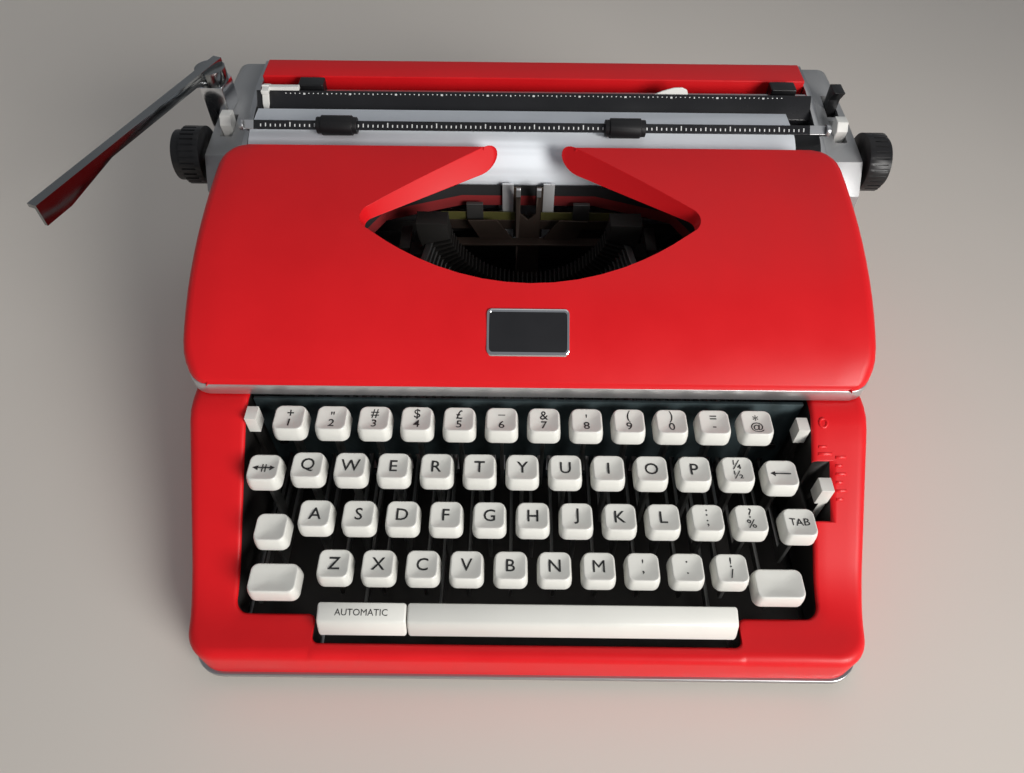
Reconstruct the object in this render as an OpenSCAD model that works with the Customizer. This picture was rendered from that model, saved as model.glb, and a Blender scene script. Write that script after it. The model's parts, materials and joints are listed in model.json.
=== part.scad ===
// Portable manual typewriter with a hinged ribbon cover and a sliding carriage.
// Body frame: x to the right from the middle, y back from the base's front edge, z up from the desk.

/* [Case] */
// Width of the lower case
case_w = 294; // [285:1:310]
// Depth of the lower case
case_d = 289; // [287:1:300]
// Wall thickness of the lower case
case_wall = 2.5; // [2:0.1:3]
// Corner radius of the lower case, seen from above
case_corner_r = 13; // [10:1:24]
// Height of the front lip above the desk
lip_z = 28; // [26:0.5:29]
// Bevel along the front lip
lip_bevel = 4; // [2:0.5:6]
// Where the flat front ledge ends and the side rails start to climb
ledge_y = 28; // [24:1:32]
// Where the side rails reach the cover
rail_y = 98; // [95:1:101]
// Height of the side rails at the cover
rail_z = 76; // [74:0.5:76.5]
// Height of the case behind the cover
rear_z = 64; // [60:0.5:66]
// Thickness of the base plate
base_t = 3; // [2:0.5:4]
// How far the base plate stands out around the case
base_lip = 1.5; // [0.5:0.5:3]
// Height of the rubber feet
foot_h = 6; // [4:0.5:8]
// Radius of the rubber feet
foot_r = 9; // [6:0.5:12]
// Distance of the feet from the edges of the base
foot_inset = 24; // [18:1:40]
// How far the sides of the case lean out at the top of the rails
side_lean = 7.5; // [2:0.5:9]

/* [Keyboard opening] */
// Width of the side rails beside the keyboard opening
side_rail_w = 19; // [15:0.5:20]
// Front edge of the keyboard opening
well_front = 21; // [18:0.5:22]
// Width of the ledge on each side of the space bar's pocket
pocket_side = 35.5; // [33:0.5:36.5]
// Front edge of the pocket for the space bar
pocket_front = 8.5; // [7.5:0.5:9]
// Corner radius of the keyboard opening
well_corner_r = 6; // [3:0.5:8]
// Wall around the keyboard opening
well_wall = 2; // [1.5:0.1:3]

/* [Cover] */
// How far the ribbon cover stands out on each side of the case
cover_over = 8.5; // [4:0.5:11]
// Front edge of the ribbon cover
cover_front = 104; // [103:0.5:108]
// Rear edge of the ribbon cover
cover_rear = 225; // [222:0.5:225.5]
// Height of the lower edge of the ribbon cover
cover_z = 84; // [83:0.5:88]
// Height of the top of the ribbon cover
cover_top = 126.5; // [124:0.5:127]
// Wall of the ribbon cover
cover_wall = 2; // [1.5:0.1:2.5]
// Corner radius of the ribbon cover, seen from above
cover_corner_r = 11; // [8:1:24]
// Width of the eye shaped opening
eye_w = 160; // [150:1:164]
// Front of the eye shaped opening
eye_front = 142; // [138:1:150]
// Distance back to the corners of the eye shaped opening
eye_corner_y = 176; // [172:1:180]
// Gap between the two wings of the cover
wing_gap = 32; // [30:1:40]
// Depth of the flange along the wings
flange_drop = 11; // [6:0.5:12]
// Height of the bright strip under the cover
trim_h = 7; // [5:0.5:7]
// Thickness of the bright strip under the cover
trim_t = 2; // [1.5:0.1:3]
// Radius of the cover's hinge pins
hinge_pin_r = 2.5; // [2:0.1:3]

/* [Keyboard] */
// Room between the outer keys and the sides of the keyboard opening
key_room = 2.35; // [1.6:0.05:4.8]
// Distance back from one row of keys to the next
row_dy = 18.9; // [18.6:0.1:19.2]
// Step up from one row of keys to the next
row_dz = 9.4; // [9:0.1:9.6]
// Middle of the bottom row of letters, from the front
first_row_y = 35.4; // [35:0.1:36]
// Height of the tops of the bottom row of letters
first_row_z = 48; // [46:0.5:50]
// Width of a key cap
cap_w = 15; // [13:0.5:15.5]
// Depth of a key cap
cap_d = 14.5; // [13:0.5:14.8]
// Height of a key cap
cap_h = 8.5; // [7:0.5:9]
// Width of the two shift keys
shift_cap_w = 22; // [20:0.5:23]
// Thickness of a key lever
key_lever_t = 1.6; // [1.2:0.1:1.8]
// Height of a key lever
key_lever_h = 5; // [4:0.5:6]
// Height of the key levers' lower edges above the desk
key_lever_z = 22; // [21:0.5:22.5]
// Distance back to the rod that the key levers turn on
fulcrum_y = 205; // [203:0.5:206]
// Radius of the rod that the key levers turn on
fulcrum_r = 2.5; // [2:0.1:3]

/* [Carriage] */
// How far the carriage stands to the right of the middle
carriage_x = 2.5; // [-5:0.5:5]
// Width between the two end housings
carriage_w = 313; // [310:1:318]
// Width of one end housing
end_w = 19; // [17:0.5:22]
// Front of the end housings
end_front = 228; // [227.5:0.5:230]
// Rear of the carriage
carriage_rear = 317; // [312:1:320]
// Distance back to the platen's axis
platen_y = 248; // [247:0.5:249]
// Height of the platen's axis
platen_z = 104; // [103:0.5:105]
// Radius of the platen
platen_r = 17; // [16:0.1:17.2]
// Radius of the platen's shaft
platen_shaft_r = 4; // [3:0.5:5]
// Radius of the platen knobs
knob_r = 15.2; // [14:0.2:18]
// Length of the left platen knob
knob_l = 15.5; // [12:0.5:24]
// Length of the right platen knob
knob_right_l = 12.5; // [10:0.5:24]
// Radius of the feed rollers
feed_r = 5; // [4:0.5:5.2]
// Radius of the bail's rod
bail_r = 2; // [1.5:0.1:2.4]
// Radius of the rollers on the bail
bail_roller_r = 5; // [4:0.5:5.5]
// Length of the rollers on the bail
bail_roller_l = 21; // [16:1:26]
// Bare length of the platen beside the paper
bare_platen = 13.5; // [11:0.5:100]

/* [Return lever] */
// Height of the return lever's top above the end housings
lever_rise = 21; // [20:0.5:25]
// Reach of the return lever in front of its pivot
lever_reach = 128; // [100:1:135]
// Width of the return lever
lever_w = 5; // [4:0.5:9]
// Depth of the pull face at the lever's tip
lever_pull_d = 11; // [7:0.5:11.2]
// Angle of the resting lever from straight ahead
lever_angle = 20.8; // [10:0.2:30]

/* [Type basket] */
// Radius of the arc that the typebars turn on
segment_r = 52; // [50:0.5:53]
// Length of a typebar
typebar_l = 64; // [60:0.5:65]
// Thickness of a typebar
typebar_t = 1.2; // [0.8:0.1:1.3]
// Number of typebars
typebar_n = 44; // [30:2:44]
// Radius of the flanges of a ribbon spool
spool_r = 20; // [16:0.5:21]
// Height of the ribbon
ribbon_h = 13; // [10:0.5:13.5]

/* [Hidden] */
$fn = 64;
// Free play of a shaft in its bore, and of pieces that slide past each other
run_gap = 0.06;
slide_gap = 0.3;
cut = 1;

red = [0.75, 0.05, 0.06];
black = [0.07, 0.07, 0.08];
ivory = [0.9, 0.89, 0.85];
steel = [0.6, 0.61, 0.63];
chrome = [0.8, 0.81, 0.83];
rubber = [0.05, 0.05, 0.05];

well_w = case_w - 2 * side_rail_w;
pocket_w = well_w - 2 * pocket_side;
cover_w = case_w + 2 * cover_over;
base_w = case_w + 2 * base_lip;
base_d = case_d + 2 * base_lip;
base_top = foot_h + base_t;
case_y0 = base_lip;
case_y1 = base_lip + case_d;
// The case's sides under the cover, and the step down to the carriage's path
under_cover_z = rail_z - 2.5;
step_y = cover_rear + 1;
opening_rear = cover_front + 4;

// Hinge of the cover, near the cover's rear edge
hinge_y = cover_rear - 11;
hinge_z = cover_top - 11.5;
ear_r = 5;
frame_x = case_w / 2 - case_wall - 0.8;
frame_t = 3;
cover_in_x = cover_w / 2 - cover_wall;

// Wing line of the eye shaped opening, from its corner to the wing's tip
wing_a = [-eye_w / 2, eye_corner_y];
wing_b = [-wing_gap / 2 - 8.5, cover_rear - 9];
wing_angle = atan2(wing_b.y - wing_a.y, wing_b.x - wing_a.x);
wing_len = norm(wing_b - wing_a);
eye_sag = eye_corner_y - eye_front;
eye_r = (pow(eye_w / 2, 2) + pow(eye_sag, 2)) / (2 * eye_sag);

// Keys: rows from the bottom, with each row's first key and its number of keys
// The outermost key lies a little over six pitches from the middle one
middle_key_x = 2.25;
outer_steps = 24.4;
lever_step = (well_w / 2 - key_room - cap_w / 2 - middle_key_x) / outer_steps;
key_pitch = 4 * lever_step;
row_first = [middle_key_x - 18 * lever_step, middle_key_x - 20 * lever_step,
             middle_key_x - 21 * lever_step, middle_key_x - 23 * lever_step];
row_count = [10, 11, 11, 12];
home_row = 1;
// Place of the H key in the home row, which has a body of its own
working_key = 5;
function row_y(r) = first_row_y + r * row_dy;
function row_z(r) = first_row_z + r * row_dz;
function key_x(r, i) = row_first[r] + i * key_pitch;
fulcrum_z = key_lever_z + key_lever_h / 2;
hub_r = 5;
comb_t = 1.5;
comb_y = cover_front - 0.5;
comb_x = well_w / 2 - 2;
// Keys at the sides, and the levers that aren't in line with their keys
margin_release_x = middle_key_x - 25 * lever_step;
shift_lock_x = middle_key_x - 24 * lever_step;
backspace_x = middle_key_x + 23 * lever_step;
tab_x = middle_key_x + outer_steps * lever_step;
shift_x = [middle_key_x - 23.5 * lever_step, middle_key_x + 22.35 * lever_step];
shift_lever_x = [shift_x[0] - shift_cap_w / 2 + 1.1, middle_key_x + 22 * lever_step];
shift_y = row_y(0) - 5;
shift_z = row_z(0) - 4;
// Space bar and the shorter bar beside it
bar_y = first_row_y - 18.4;
bar_z = first_row_z - 7.5;
bar_room = 3;
short_bar_l = 37.8;
bar_left = bar_room + 0.3 - pocket_w / 2;
bar_ends = [bar_left, bar_left + short_bar_l, bar_left + short_bar_l + 2 * slide_gap, pocket_w / 2 - bar_room];
bar_lever_x = [middle_key_x - 15.5 * lever_step, middle_key_x - 8.5 * lever_step, middle_key_x + 16.5 * lever_step];
lever_xs = concat(
  [for (r = [0:3]) for (i = [0:row_count[r] - 1]) key_x(r, i)],
  [margin_release_x, shift_lock_x, backspace_x, tab_x], shift_lever_x, bar_lever_x);
// Small levers, with their pins in the walls of the keyboard opening
touch_x = well_w / 2 + well_wall + slide_gap;
touch_w = 5;
touch_y = [ledge_y + 30, ledge_y + 52];
touch_pin_z = base_top + 25;
small_lever_y = cover_front - 9;
small_lever_z = [rail_z, rail_z - 4];
small_pin_z = rail_z - 30;
pin_r = 1.5;

// Carriage
end_x = carriage_w / 2;
end_out = end_x + end_w;
cheek_t = 3;
cheek_x = end_x - cheek_t;
plate_z = rear_z + 9;
plate_t = 3;
rail_top = plate_z - slide_gap;
rail_w = 8;
rail_front_y = platen_y - 14;
rail_rear_y = platen_y + 30;
end_z0 = 88;
end_nose_z = platen_z + 6;
end_top = platen_z + 15;
end_nose_y = end_front + 11;
function end_z(y) = end_nose_z + (end_top - end_nose_z) * (y - end_nose_y) / (carriage_rear - end_nose_y);
platen_half = cheek_x - 3;
paper_gap = 0.15;
paper_t = 0.2;
paper_r = platen_r + paper_gap;
paper_w = 2 * platen_half - 0.5 - bare_platen;
feed_reach = paper_r + paper_t + slide_gap + feed_r;
feed_angles = [-115, -55];
feed_shaft_r = 2;
bail_reach = paper_r + paper_t + slide_gap + bail_roller_r;
bail_at = [platen_y + bail_reach * cos(102.5), platen_z + bail_reach * sin(102.5)];
bail_pivot = [platen_y + 17, platen_z + 6];
bail_arm_t = 2.2;
bail_roller_x = [51 - cheek_x, cheek_x - 106.5];
table_y = platen_y + 25;
margin_rail_y = platen_y + 38;
margin_rail_z = platen_z + 12;
margin_rail_w = 3;
margin_rail_h = 3.5;
stop_w = 14;
stop_grip = 2.8;
// Ends of the two margin stops at rest, measured from the carriage's middle
stop_left_x = 29.5 - cheek_x;
stop_right_x = cheek_x - 14.5;
rear_cover_y = platen_y + 47;
rear_cover_z = platen_z + 20;
rear_cover_t = 1.5;

// Rack under the carriage, and the pinion that it turns
rack_pitch = 5.08;
pinion_teeth = 12;
pinion_r = pinion_teeth * rack_pitch / (2 * PI);
rack_y = platen_y + 15;
rack_w = 6;
rack_depth = 3.8;
pinion_z = plate_z - 2.2 - pinion_r;
rear_bar_y = rack_y + 10;
rear_bar_w = case_w - 22;
drum_at = [62 - case_w / 2, base_top + 27];
drum_r = 24;
drum_shaft_r = 3;
release_w = 6;
release_y = platen_y + 15;
release_x = end_x + 8;
release_pin_z = platen_z - 3;
release_room = 9;
paper_release_y = platen_y + 36;

// Type basket: centre of the segment's arc, in front of the printing point
basket = [0, platen_y - platen_r - 34, platen_z];
typebar_tilt = 10;
typebar_spread = 150;
typebar_step = typebar_spread / (typebar_n - 1);
working_bar = floor(typebar_n / 2);
function typebar_angle(i) = -typebar_spread / 2 + i * typebar_step;
typebar_h = 3.5;
heel_r = 3;
slug = [2.8, 10, 3.4];
slug_turn = 29;
segment_in = segment_r - 11;
segment_out = segment_r + 5;
segment_t = 10;
segment_ear_x = segment_out + 5;
crossbar_y = fulcrum_y + hub_r + 2;
crossbar_t = 3;
guide_y = platen_y - 29;
ribbon_y = platen_y - platen_r - 1.6;
ribbon_t = 0.2;
ribbon_z = platen_z - 4 - ribbon_h;
spool_at = [case_w / 2 - 39, cover_front + 61];
spool_h = ribbon_h + 5;
spool_z = ribbon_z - 2.5 - slide_gap;
wound_r = spool_r - 4;
spindle_r = 3;
ribbon_start = spool_at + [-1, 1] * (wound_r + 2 * slide_gap) / sqrt(2);
ribbon_path = [ribbon_start, [76, ribbon_y - 14], [36, ribbon_y]];
vibrator_y = guide_y + 8 + slide_gap;
vibrator_t = 1.4;

// Return lever's pivot on the left end of the carriage
lever_pivot = [carriage_x - end_out + 1, platen_y + 30];
lever_pin_r = 3;
lever_plate_t = 2;
lever_hub_r = 8;
lever_top = end_top + lever_rise;
lever_hub_z = lever_top - lever_plate_t - 7.5;
lever_tail = 8;

// The whole machine's box, which the origin is the middle of
lever_tip = lever_pivot - [sin(lever_angle), cos(lever_angle)] * lever_reach;
box_left = lever_tip.x - lever_w / 2 * cos(lever_angle);
box_right = carriage_x + end_out + 2 + knob_right_l;
box_middle = [(box_left + box_right) / 2, carriage_rear / 2];

// Shared shapes

// Rectangle with round corners, its front edge on y = 0
module rounded_rect(w, d, r) {
  translate([-w / 2 + r, 0]) square([w - 2 * r, d]);
  translate([-w / 2, r]) square([w, d - 2 * r]);
  for (x = [-w / 2 + r, w / 2 - r], y = [r, d - r]) translate([x, y]) circle(r);
}

// Extrudes a side view, drawn as y and z, from x0 to x1
module side_view(x0, x1) {
  translate([x0, 0, 0]) rotate([90, 0, 90]) linear_extrude(x1 - x0) children();
}

// Cylinder along x from x0 to x1, at a given y and z
module x_rod(x0, x1, y, z, r) {
  translate([x0, y, z]) rotate([0, 90, 0]) cylinder(r = r, h = x1 - x0);
}

// Cylinder along y from y0 to y1, at a given x and z
module y_rod(x, z, y0, y1, r) {
  translate([x, y0, z]) rotate([-90, 0, 0]) cylinder(r = r, h = y1 - y0);
}

module box(x0, x1, y0, y1, z0, z1) {
  translate([x0, y0, z0]) cube([x1 - x0, y1 - y0, z1 - z0]);
}

module both_sides() {
  children();
  mirror([1, 0, 0]) children();
}

// Moves the body frame so that the origin is under the middle of the whole machine
module placed() {
  translate([-box_middle.x, -box_middle.y, 0]) children();
}

module on_carriage() {
  translate([carriage_x, 0, 0]) children();
}

// Base and case

module base_plate() {
  color(steel) translate([0, 0, foot_h]) linear_extrude(base_t)
    rounded_rect(base_w, base_d, case_corner_r + base_lip);
}

module rubber_feet() {
  color(rubber) for (x = [-1, 1] * (base_w / 2 - foot_inset), y = [foot_inset, base_d - foot_inset])
    translate([x, y, 0]) cylinder(r = foot_r, h = foot_h);
}

module case_profile() {
  polygon([
    [case_y0, base_top], [case_y0, lip_z - 1.5 * lip_bevel], [case_y0 + lip_bevel, lip_z],
    [ledge_y, lip_z], [rail_y, rail_z], [opening_rear, rail_z], [opening_rear, under_cover_z],
    [step_y, under_cover_z], [step_y, rear_z], [case_y1, rear_z], [case_y1, base_top]]);
}

module case_block(inset) {
  intersection() {
    translate([0, inset, -inset]) side_view(-case_w / 2, case_w / 2) case_profile();
    translate([0, case_y0 + inset, 0]) linear_extrude(cover_top)
      rounded_rect(case_w - 2 * inset, case_d - 2 * inset, case_corner_r - inset);
  }
}

// The keyboard opening, with the space bar's pocket in front, grown by a margin
module key_opening(grow) {
  translate([0, well_front - grow])
    rounded_rect(well_w + 2 * grow, opening_rear - well_front + 2 * grow, well_corner_r + grow);
  translate([0, pocket_front - grow])
    rounded_rect(pocket_w + 2 * grow, well_front - pocket_front + 3 * well_corner_r, well_corner_r / 2 + grow);
}

// Wedges that let the sides of the case lean out towards the rails, and run out at the corners
module leaning_sides() {
  foot_lean = 1;
  front_y = case_y0 + case_corner_r - 2;
  full_y = front_y + 26;
  both_sides() intersection() {
    side_view(case_w / 2 - 1, case_w / 2 + side_lean) case_profile();
    translate([0, case_y1, 0]) rotate([90, 0, 0]) linear_extrude(case_y1) polygon([
      [case_w / 2 - 1, base_top], [case_w / 2 + foot_lean, base_top],
      [case_w / 2 + side_lean, rail_z], [case_w / 2 - 1, rail_z]]);
    linear_extrude(cover_top) polygon([
      [0, front_y], [case_w / 2 - 0.5, front_y],
      [case_w / 2 + side_lean, full_y],
      [case_w / 2 + side_lean, hinge_y - cover_corner_r],
      [case_w / 2, case_y1 - case_corner_r], [0, case_y1 - case_corner_r]]);
  }
}

module lower_case() {
  well_floor = base_top + 4;
  color(red) {
    difference() {
      case_block(0);
      case_block(case_wall);
      translate([0, 0, base_top]) linear_extrude(cover_top) key_opening(0);
      box(-frame_x - 0.8, frame_x + 0.8, opening_rear - cut, case_y1 - case_corner_r,
          base_top, cover_top);
      box(-case_w / 2 + case_corner_r, case_w / 2 - case_corner_r, case_y1 - case_corner_r - cut,
          case_y1 - case_wall, base_top, cover_top);
      touch_slot();
      touch_notch();
    }
    leaning_sides();
    difference() {
      intersection() {
        side_view(-case_w / 2, case_w / 2) case_profile();
        box(-case_w / 2, case_w / 2, 0, opening_rear, well_floor, cover_top);
        linear_extrude(cover_top) difference() {
          key_opening(well_wall);
          key_opening(0);
        }
      }
      x_rod(0, touch_x, (touch_y[0] + touch_y[1]) / 2, touch_pin_z, pin_r + run_gap);
      x_rod(-touch_x, touch_x, small_lever_y, small_pin_z, pin_r + run_gap);
      touch_notch();
    }
  }
}

// Slot in the right rail for the touch lever
module touch_slot() {
  box(touch_x, touch_x + touch_w, touch_y[0], touch_y[1], base_top, cover_top);
}

// Upper part of that slot, open to the keyboard
module touch_notch() {
  box(well_w / 2 - 1, touch_x + cut, touch_y[0], touch_y[1], touch_pin_z + 8, cover_top);
}

// Inner frame

module side_frames() {
  color(steel) both_sides() {
    difference() {
      union() {
        side_view(frame_x - frame_t, frame_x) polygon([
          [opening_rear + 2, base_top], [opening_rear + 2, under_cover_z - 6],
          [hinge_y - ear_r, under_cover_z - 2], [hinge_y - ear_r, hinge_z],
          [hinge_y + ear_r / 2, hinge_z], [hinge_y + ear_r / 2, rear_z],
          [case_y1 - case_corner_r, rear_z], [case_y1 - case_corner_r, base_top]]);
        x_rod(frame_x - frame_t, frame_x, hinge_y, hinge_z, ear_r);
        x_rod(frame_x - frame_t, cover_in_x - 4, hinge_y, hinge_z, hinge_pin_r);
      }
      x_rod(frame_x - frame_t - cut, frame_x + cut, fulcrum_y, fulcrum_z, fulcrum_r);
    }
  }
}

// Plate across the machine that carries the type guide and the segment's guides
module front_crossbar() {
  post_z0 = fulcrum_z + hub_r + 3;
  post_z1 = basket.z - 20;
  color(steel) {
    box(-frame_x + frame_t, frame_x - frame_t, crossbar_y, crossbar_y + crossbar_t,
        base_top, basket.z - segment_out - 3);
    both_sides() box(segment_ear_x + slide_gap, segment_ear_x + 6, basket.y, crossbar_y + crossbar_t,
                     post_z0, post_z1);
  }
}

module rear_crossbar() {
  color(steel) difference() {
    union() {
      box(-rear_bar_w / 2, rear_bar_w / 2, rear_bar_y, rear_bar_y + 3, base_top, rear_z - 6);
      y_rod(0, pinion_z, rear_bar_y, rear_bar_y + 3, 6);
    }
    y_rod(0, pinion_z, rear_bar_y - cut, rear_bar_y + 4, drum_shaft_r + run_gap);
    y_rod(drum_at.x, drum_at.y, rear_bar_y - cut, rear_bar_y + 4, drum_shaft_r + run_gap);
  }
}

// Two rails: the front one lies on the side frames, the rear one stands on two legs
module carriage_rails() {
  leg_x = case_w / 2 - 25;
  color(steel) {
    for (y = [rail_front_y, rail_rear_y]) box(-frame_x, frame_x, y, y + rail_w, rear_z, rail_top);
    both_sides() box(leg_x, leg_x + 6, rail_rear_y + 1, rail_rear_y + rail_w - 1, base_top, rear_z + cut);
  }
}

// Comb that keeps the key levers in line, under the cover's front edge
module key_comb() {
  slot_w = key_lever_t + 2 * slide_gap + 0.4;
  color(steel) difference() {
    box(-comb_x, comb_x, comb_y, comb_y + comb_t, base_top, rail_z - 1.5);
    for (x = lever_xs) box(x - slot_w / 2, x + slot_w / 2, comb_y - cut, comb_y + comb_t + cut,
                           base_top + 3, fulcrum_z + key_lever_h);
  }
}

module key_fulcrum_rod() {
  color(steel) x_rod(-frame_x, frame_x, fulcrum_y, fulcrum_z, fulcrum_r);
}

module spool_supports() {
  post_x = spool_at.x + spool_r - 2;
  color(steel) both_sides() {
    box(post_x, post_x + 6, spool_at.y - 6, spool_at.y + 6, base_top, spool_z - 2);
    translate([spool_at.x, spool_at.y, spool_z - 2]) cylinder(r = spool_r + 4, h = 2);
    translate([spool_at.x, spool_at.y, spool_z - cut]) cylinder(r = spindle_r, h = spool_h + 3);
  }
}

// Upright channel that lines up the struck typebar, with the two card holders beside it
module type_guide() {
  foot_z = basket.z - segment_out - 3;
  color(steel) {
    difference() {
      box(-11, 11, guide_y, guide_y + 8, foot_z - 20, platen_z + 1);
      box(-4, 4, guide_y - cut, guide_y + 9, foot_z - 8, platen_z + 2);
    }
    box(-11, 11, crossbar_y + crossbar_t, guide_y, foot_z - 20, foot_z - 10);
    both_sides() translate([0, guide_y + 8, 0]) rotate([90, 0, 0]) linear_extrude(2)
      polygon([[11, ribbon_z - 14], [20, ribbon_z - 14], [34, ribbon_z - 4], [34, ribbon_z], [11, ribbon_z]]);
  }
}

// Ribbon from the left spool past the printing point to the right spool
module ribbon() {
  path = concat(ribbon_path, [for (i = [len(ribbon_path) - 1:-1:0]) [-ribbon_path[i].x, ribbon_path[i].y]]);
  back = [for (i = [len(path) - 1:-1:0]) path[i] - [0, ribbon_t]];
  color(black) translate([0, 0, ribbon_z]) linear_extrude(ribbon_h) polygon(concat(path, back));
}

module bell() {
  at = [case_w / 2 - 51, rear_bar_y - 18];
  color(chrome) {
    translate([at.x, at.y, base_top]) cylinder(r = 3, h = 20);
    translate([at.x, at.y, base_top + 20]) difference() {
      intersection() {
        sphere(16);
        translate([-20, -20, 0]) cube([40, 40, 20]);
      }
      difference() {
        sphere(14.5);
        cylinder(r = 3, h = 20);
      }
    }
  }
}

// Cover

function curve(a, b, c, n) = [for (i = [0:n]) let (t = i / n) (1 - t) * (1 - t) * a + 2 * t * (1 - t) * b + t * t * c];

module cover_profile() {
  skirt = 3;
  polygon(concat(
    [[cover_front, cover_z]],
    curve([cover_front, cover_z + skirt], [cover_front + 34, cover_top - 2.5], [cover_rear, cover_top], 14),
    [[cover_rear, cover_z]]));
}

module cover_block(inset) {
  intersection() {
    translate([0, inset, -inset]) side_view(-cover_w / 2, cover_w / 2) cover_profile();
    translate([0, cover_front + inset, 0]) linear_extrude(cover_top + cut)
      rounded_rect(cover_w - 2 * inset, cover_rear - cover_front - 2 * inset, cover_corner_r - inset);
  }
}

module eye_opening() {
  intersection() {
    translate([0, eye_front + eye_r]) circle(eye_r, $fn = 128);
    translate([-eye_w / 2, eye_front - cut]) square([eye_w, eye_corner_y - eye_front + cut]);
  }
  tip = [-wing_gap / 2, wing_b.y + 4];
  polygon([
    wing_a, wing_b, tip, [tip.x, cover_rear + cut],
    [-tip.x, cover_rear + cut], [-tip.x, tip.y], [-wing_b.x, wing_b.y], [-wing_a.x, wing_a.y]]);
}

module cover() {
  rear_wall_z = cover_top - flange_drop;
  color(red) {
    difference() {
      cover_block(0);
      cover_block(cover_wall);
      translate([0, 0, cover_z - cut]) linear_extrude(cover_top) eye_opening();
      box(-cover_in_x, cover_in_x, cover_rear - cover_corner_r, cover_rear + cut, cover_z - cut, rear_wall_z);
    }
    both_sides() {
      intersection() {
        cover_block(0);
        translate([wing_a.x, wing_a.y, rear_wall_z]) rotate(wing_angle)
          cube([wing_len, cover_wall, cover_top]);
      }
      difference() {
        union() {
          x_rod(frame_x + slide_gap, cover_in_x + 0.5, hinge_y, hinge_z, ear_r);
          box(frame_x + slide_gap, cover_in_x + 0.5, hinge_y - ear_r, hinge_y + ear_r, hinge_z, cover_top - 4);
        }
        x_rod(frame_x - cut, cover_in_x - 1.5, hinge_y, hinge_z, hinge_pin_r + run_gap);
      }
    }
  }
}

module cover_trim() {
  color(chrome) intersection() {
    translate([0, cover_front, cover_z - trim_h]) linear_extrude(trim_h) difference() {
      rounded_rect(cover_w - 1, cover_rear - cover_front, cover_corner_r);
      translate([0, trim_t]) rounded_rect(cover_w - 1 - 2 * trim_t, cover_rear - cover_front, cover_corner_r - trim_t);
    }
    box(-cover_w, cover_w, 0, hinge_y - cover_corner_r, 0, cover_top);
  }
}

// Carriage

module carriage_frame() {
  lip_t = 2.7;
  color(steel) on_carriage() {
    box(-end_x, end_x, rail_front_y - 2, carriage_rear - 4, plate_z, plate_z + plate_t);
    for (y = [rail_front_y + rail_w + slide_gap, rail_rear_y - slide_gap - lip_t])
      box(-end_x, end_x, y, y + lip_t, rail_top - 4, plate_z);
    box(-cheek_x - cut, cheek_x + cut, margin_rail_y, margin_rail_y + margin_rail_w,
        margin_rail_z, margin_rail_z + margin_rail_h);
    both_sides() difference() {
      side_view(cheek_x, end_x) polygon([
        [rail_front_y - 2, plate_z + cut], [rail_front_y - 2, platen_z - 8], [platen_y - 8, platen_z + 8],
        [margin_rail_y + 4, margin_rail_z + 5], [carriage_rear, margin_rail_z + 5],
        [carriage_rear, plate_z + 8], [carriage_rear - 4, plate_z + cut]]);
      x_rod(0, end_x + cut, platen_y, platen_z, platen_shaft_r + run_gap);
      for (a = feed_angles) x_rod(0, end_x + cut, platen_y + feed_reach * cos(a), platen_z + feed_reach * sin(a),
                                  feed_shaft_r + run_gap);
      x_rod(0, end_x + cut, bail_pivot.x, bail_pivot.y, feed_shaft_r + run_gap);
    }
  }
  color(steel) rack();
}

// Toothed edge on the underside of the carriage, with one tooth over the pinion at rest
module rack() {
  n = floor((carriage_w - 10) / rack_pitch / 2) - 1;
  teeth = [for (i = [-n:n]) each [
    [i * rack_pitch - 1.2, plate_z], [i * rack_pitch - 0.5, plate_z - rack_depth],
    [i * rack_pitch + 0.5, plate_z - rack_depth], [i * rack_pitch + 1.2, plate_z]]];
  top = plate_z + cut;
  x1 = n * rack_pitch + 2;
  translate([0, rack_y + rack_w, 0]) rotate([90, 0, 0]) linear_extrude(rack_w)
    polygon(concat(teeth, [[x1, plate_z], [x1, top], [-x1, top], [-x1, plate_z]]));
}

// Side view and front view of an end housing, for the right side
module end_block() {
  round_r = 9;
  intersection() {
    side_view(end_x, end_out) polygon([
      [end_front, end_z0], [end_front, platen_z - 8], [end_nose_y, end_nose_z],
      [carriage_rear, end_top], [carriage_rear, end_z0]]);
    translate([0, carriage_rear + cut, 0]) rotate([90, 0, 0]) linear_extrude(carriage_rear) union() {
      translate([end_x, end_z0 - cut]) square([end_w, end_top - round_r - end_z0 + cut]);
      translate([end_x, end_z0 - cut]) square([end_w - round_r, end_top - end_z0 + 2 * cut]);
      translate([end_out - round_r, end_top - round_r]) circle(round_r);
    }
  }
}

// Pocket in a housing's top for a lever at a given distance back
module release_pocket(y) {
  box(release_x - slide_gap, release_x + release_w + slide_gap, y - release_room, y + release_room,
      release_pin_z - 4, end_top + 10);
}

module release_pin(y) {
  x_rod(release_x - slide_gap - cut, release_x + release_w + slide_gap + cut, y, release_pin_z, pin_r);
}

// White release lever in each housing's top
module release_lever() {
  difference() {
    union() {
      x_rod(release_x, release_x + release_w, release_y, release_pin_z, 3.5);
      side_view(release_x, release_x + release_w) polygon([
        [release_y - 2.5, release_pin_z], [release_y - 5, end_z(release_y) + 3], [release_y - 2, end_z(release_y) + 7],
        [release_y + 4, end_z(release_y) + 7], [release_y + 2.5, release_pin_z]]);
    }
    x_rod(release_x - cut, release_x + release_w + cut, release_y, release_pin_z, pin_r + run_gap);
  }
}

// End housing with a pocket and a pin for each of its levers
module housing(levers) {
  color(chrome) {
    difference() {
      end_block();
      x_rod(end_x - cut, end_out + cut, platen_y, platen_z, platen_shaft_r + run_gap);
      for (y = levers) release_pocket(y);
    }
    for (y = levers) release_pin(y);
  }
}

module end_left() {
  on_carriage() mirror([1, 0, 0]) housing([release_y]);
}

module end_right() {
  on_carriage() housing([release_y, paper_release_y]);
}

module carriage_release_left() {
  color(ivory) on_carriage() mirror([1, 0, 0]) release_lever();
}

module carriage_release_right() {
  color(ivory) on_carriage() release_lever();
}

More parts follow.
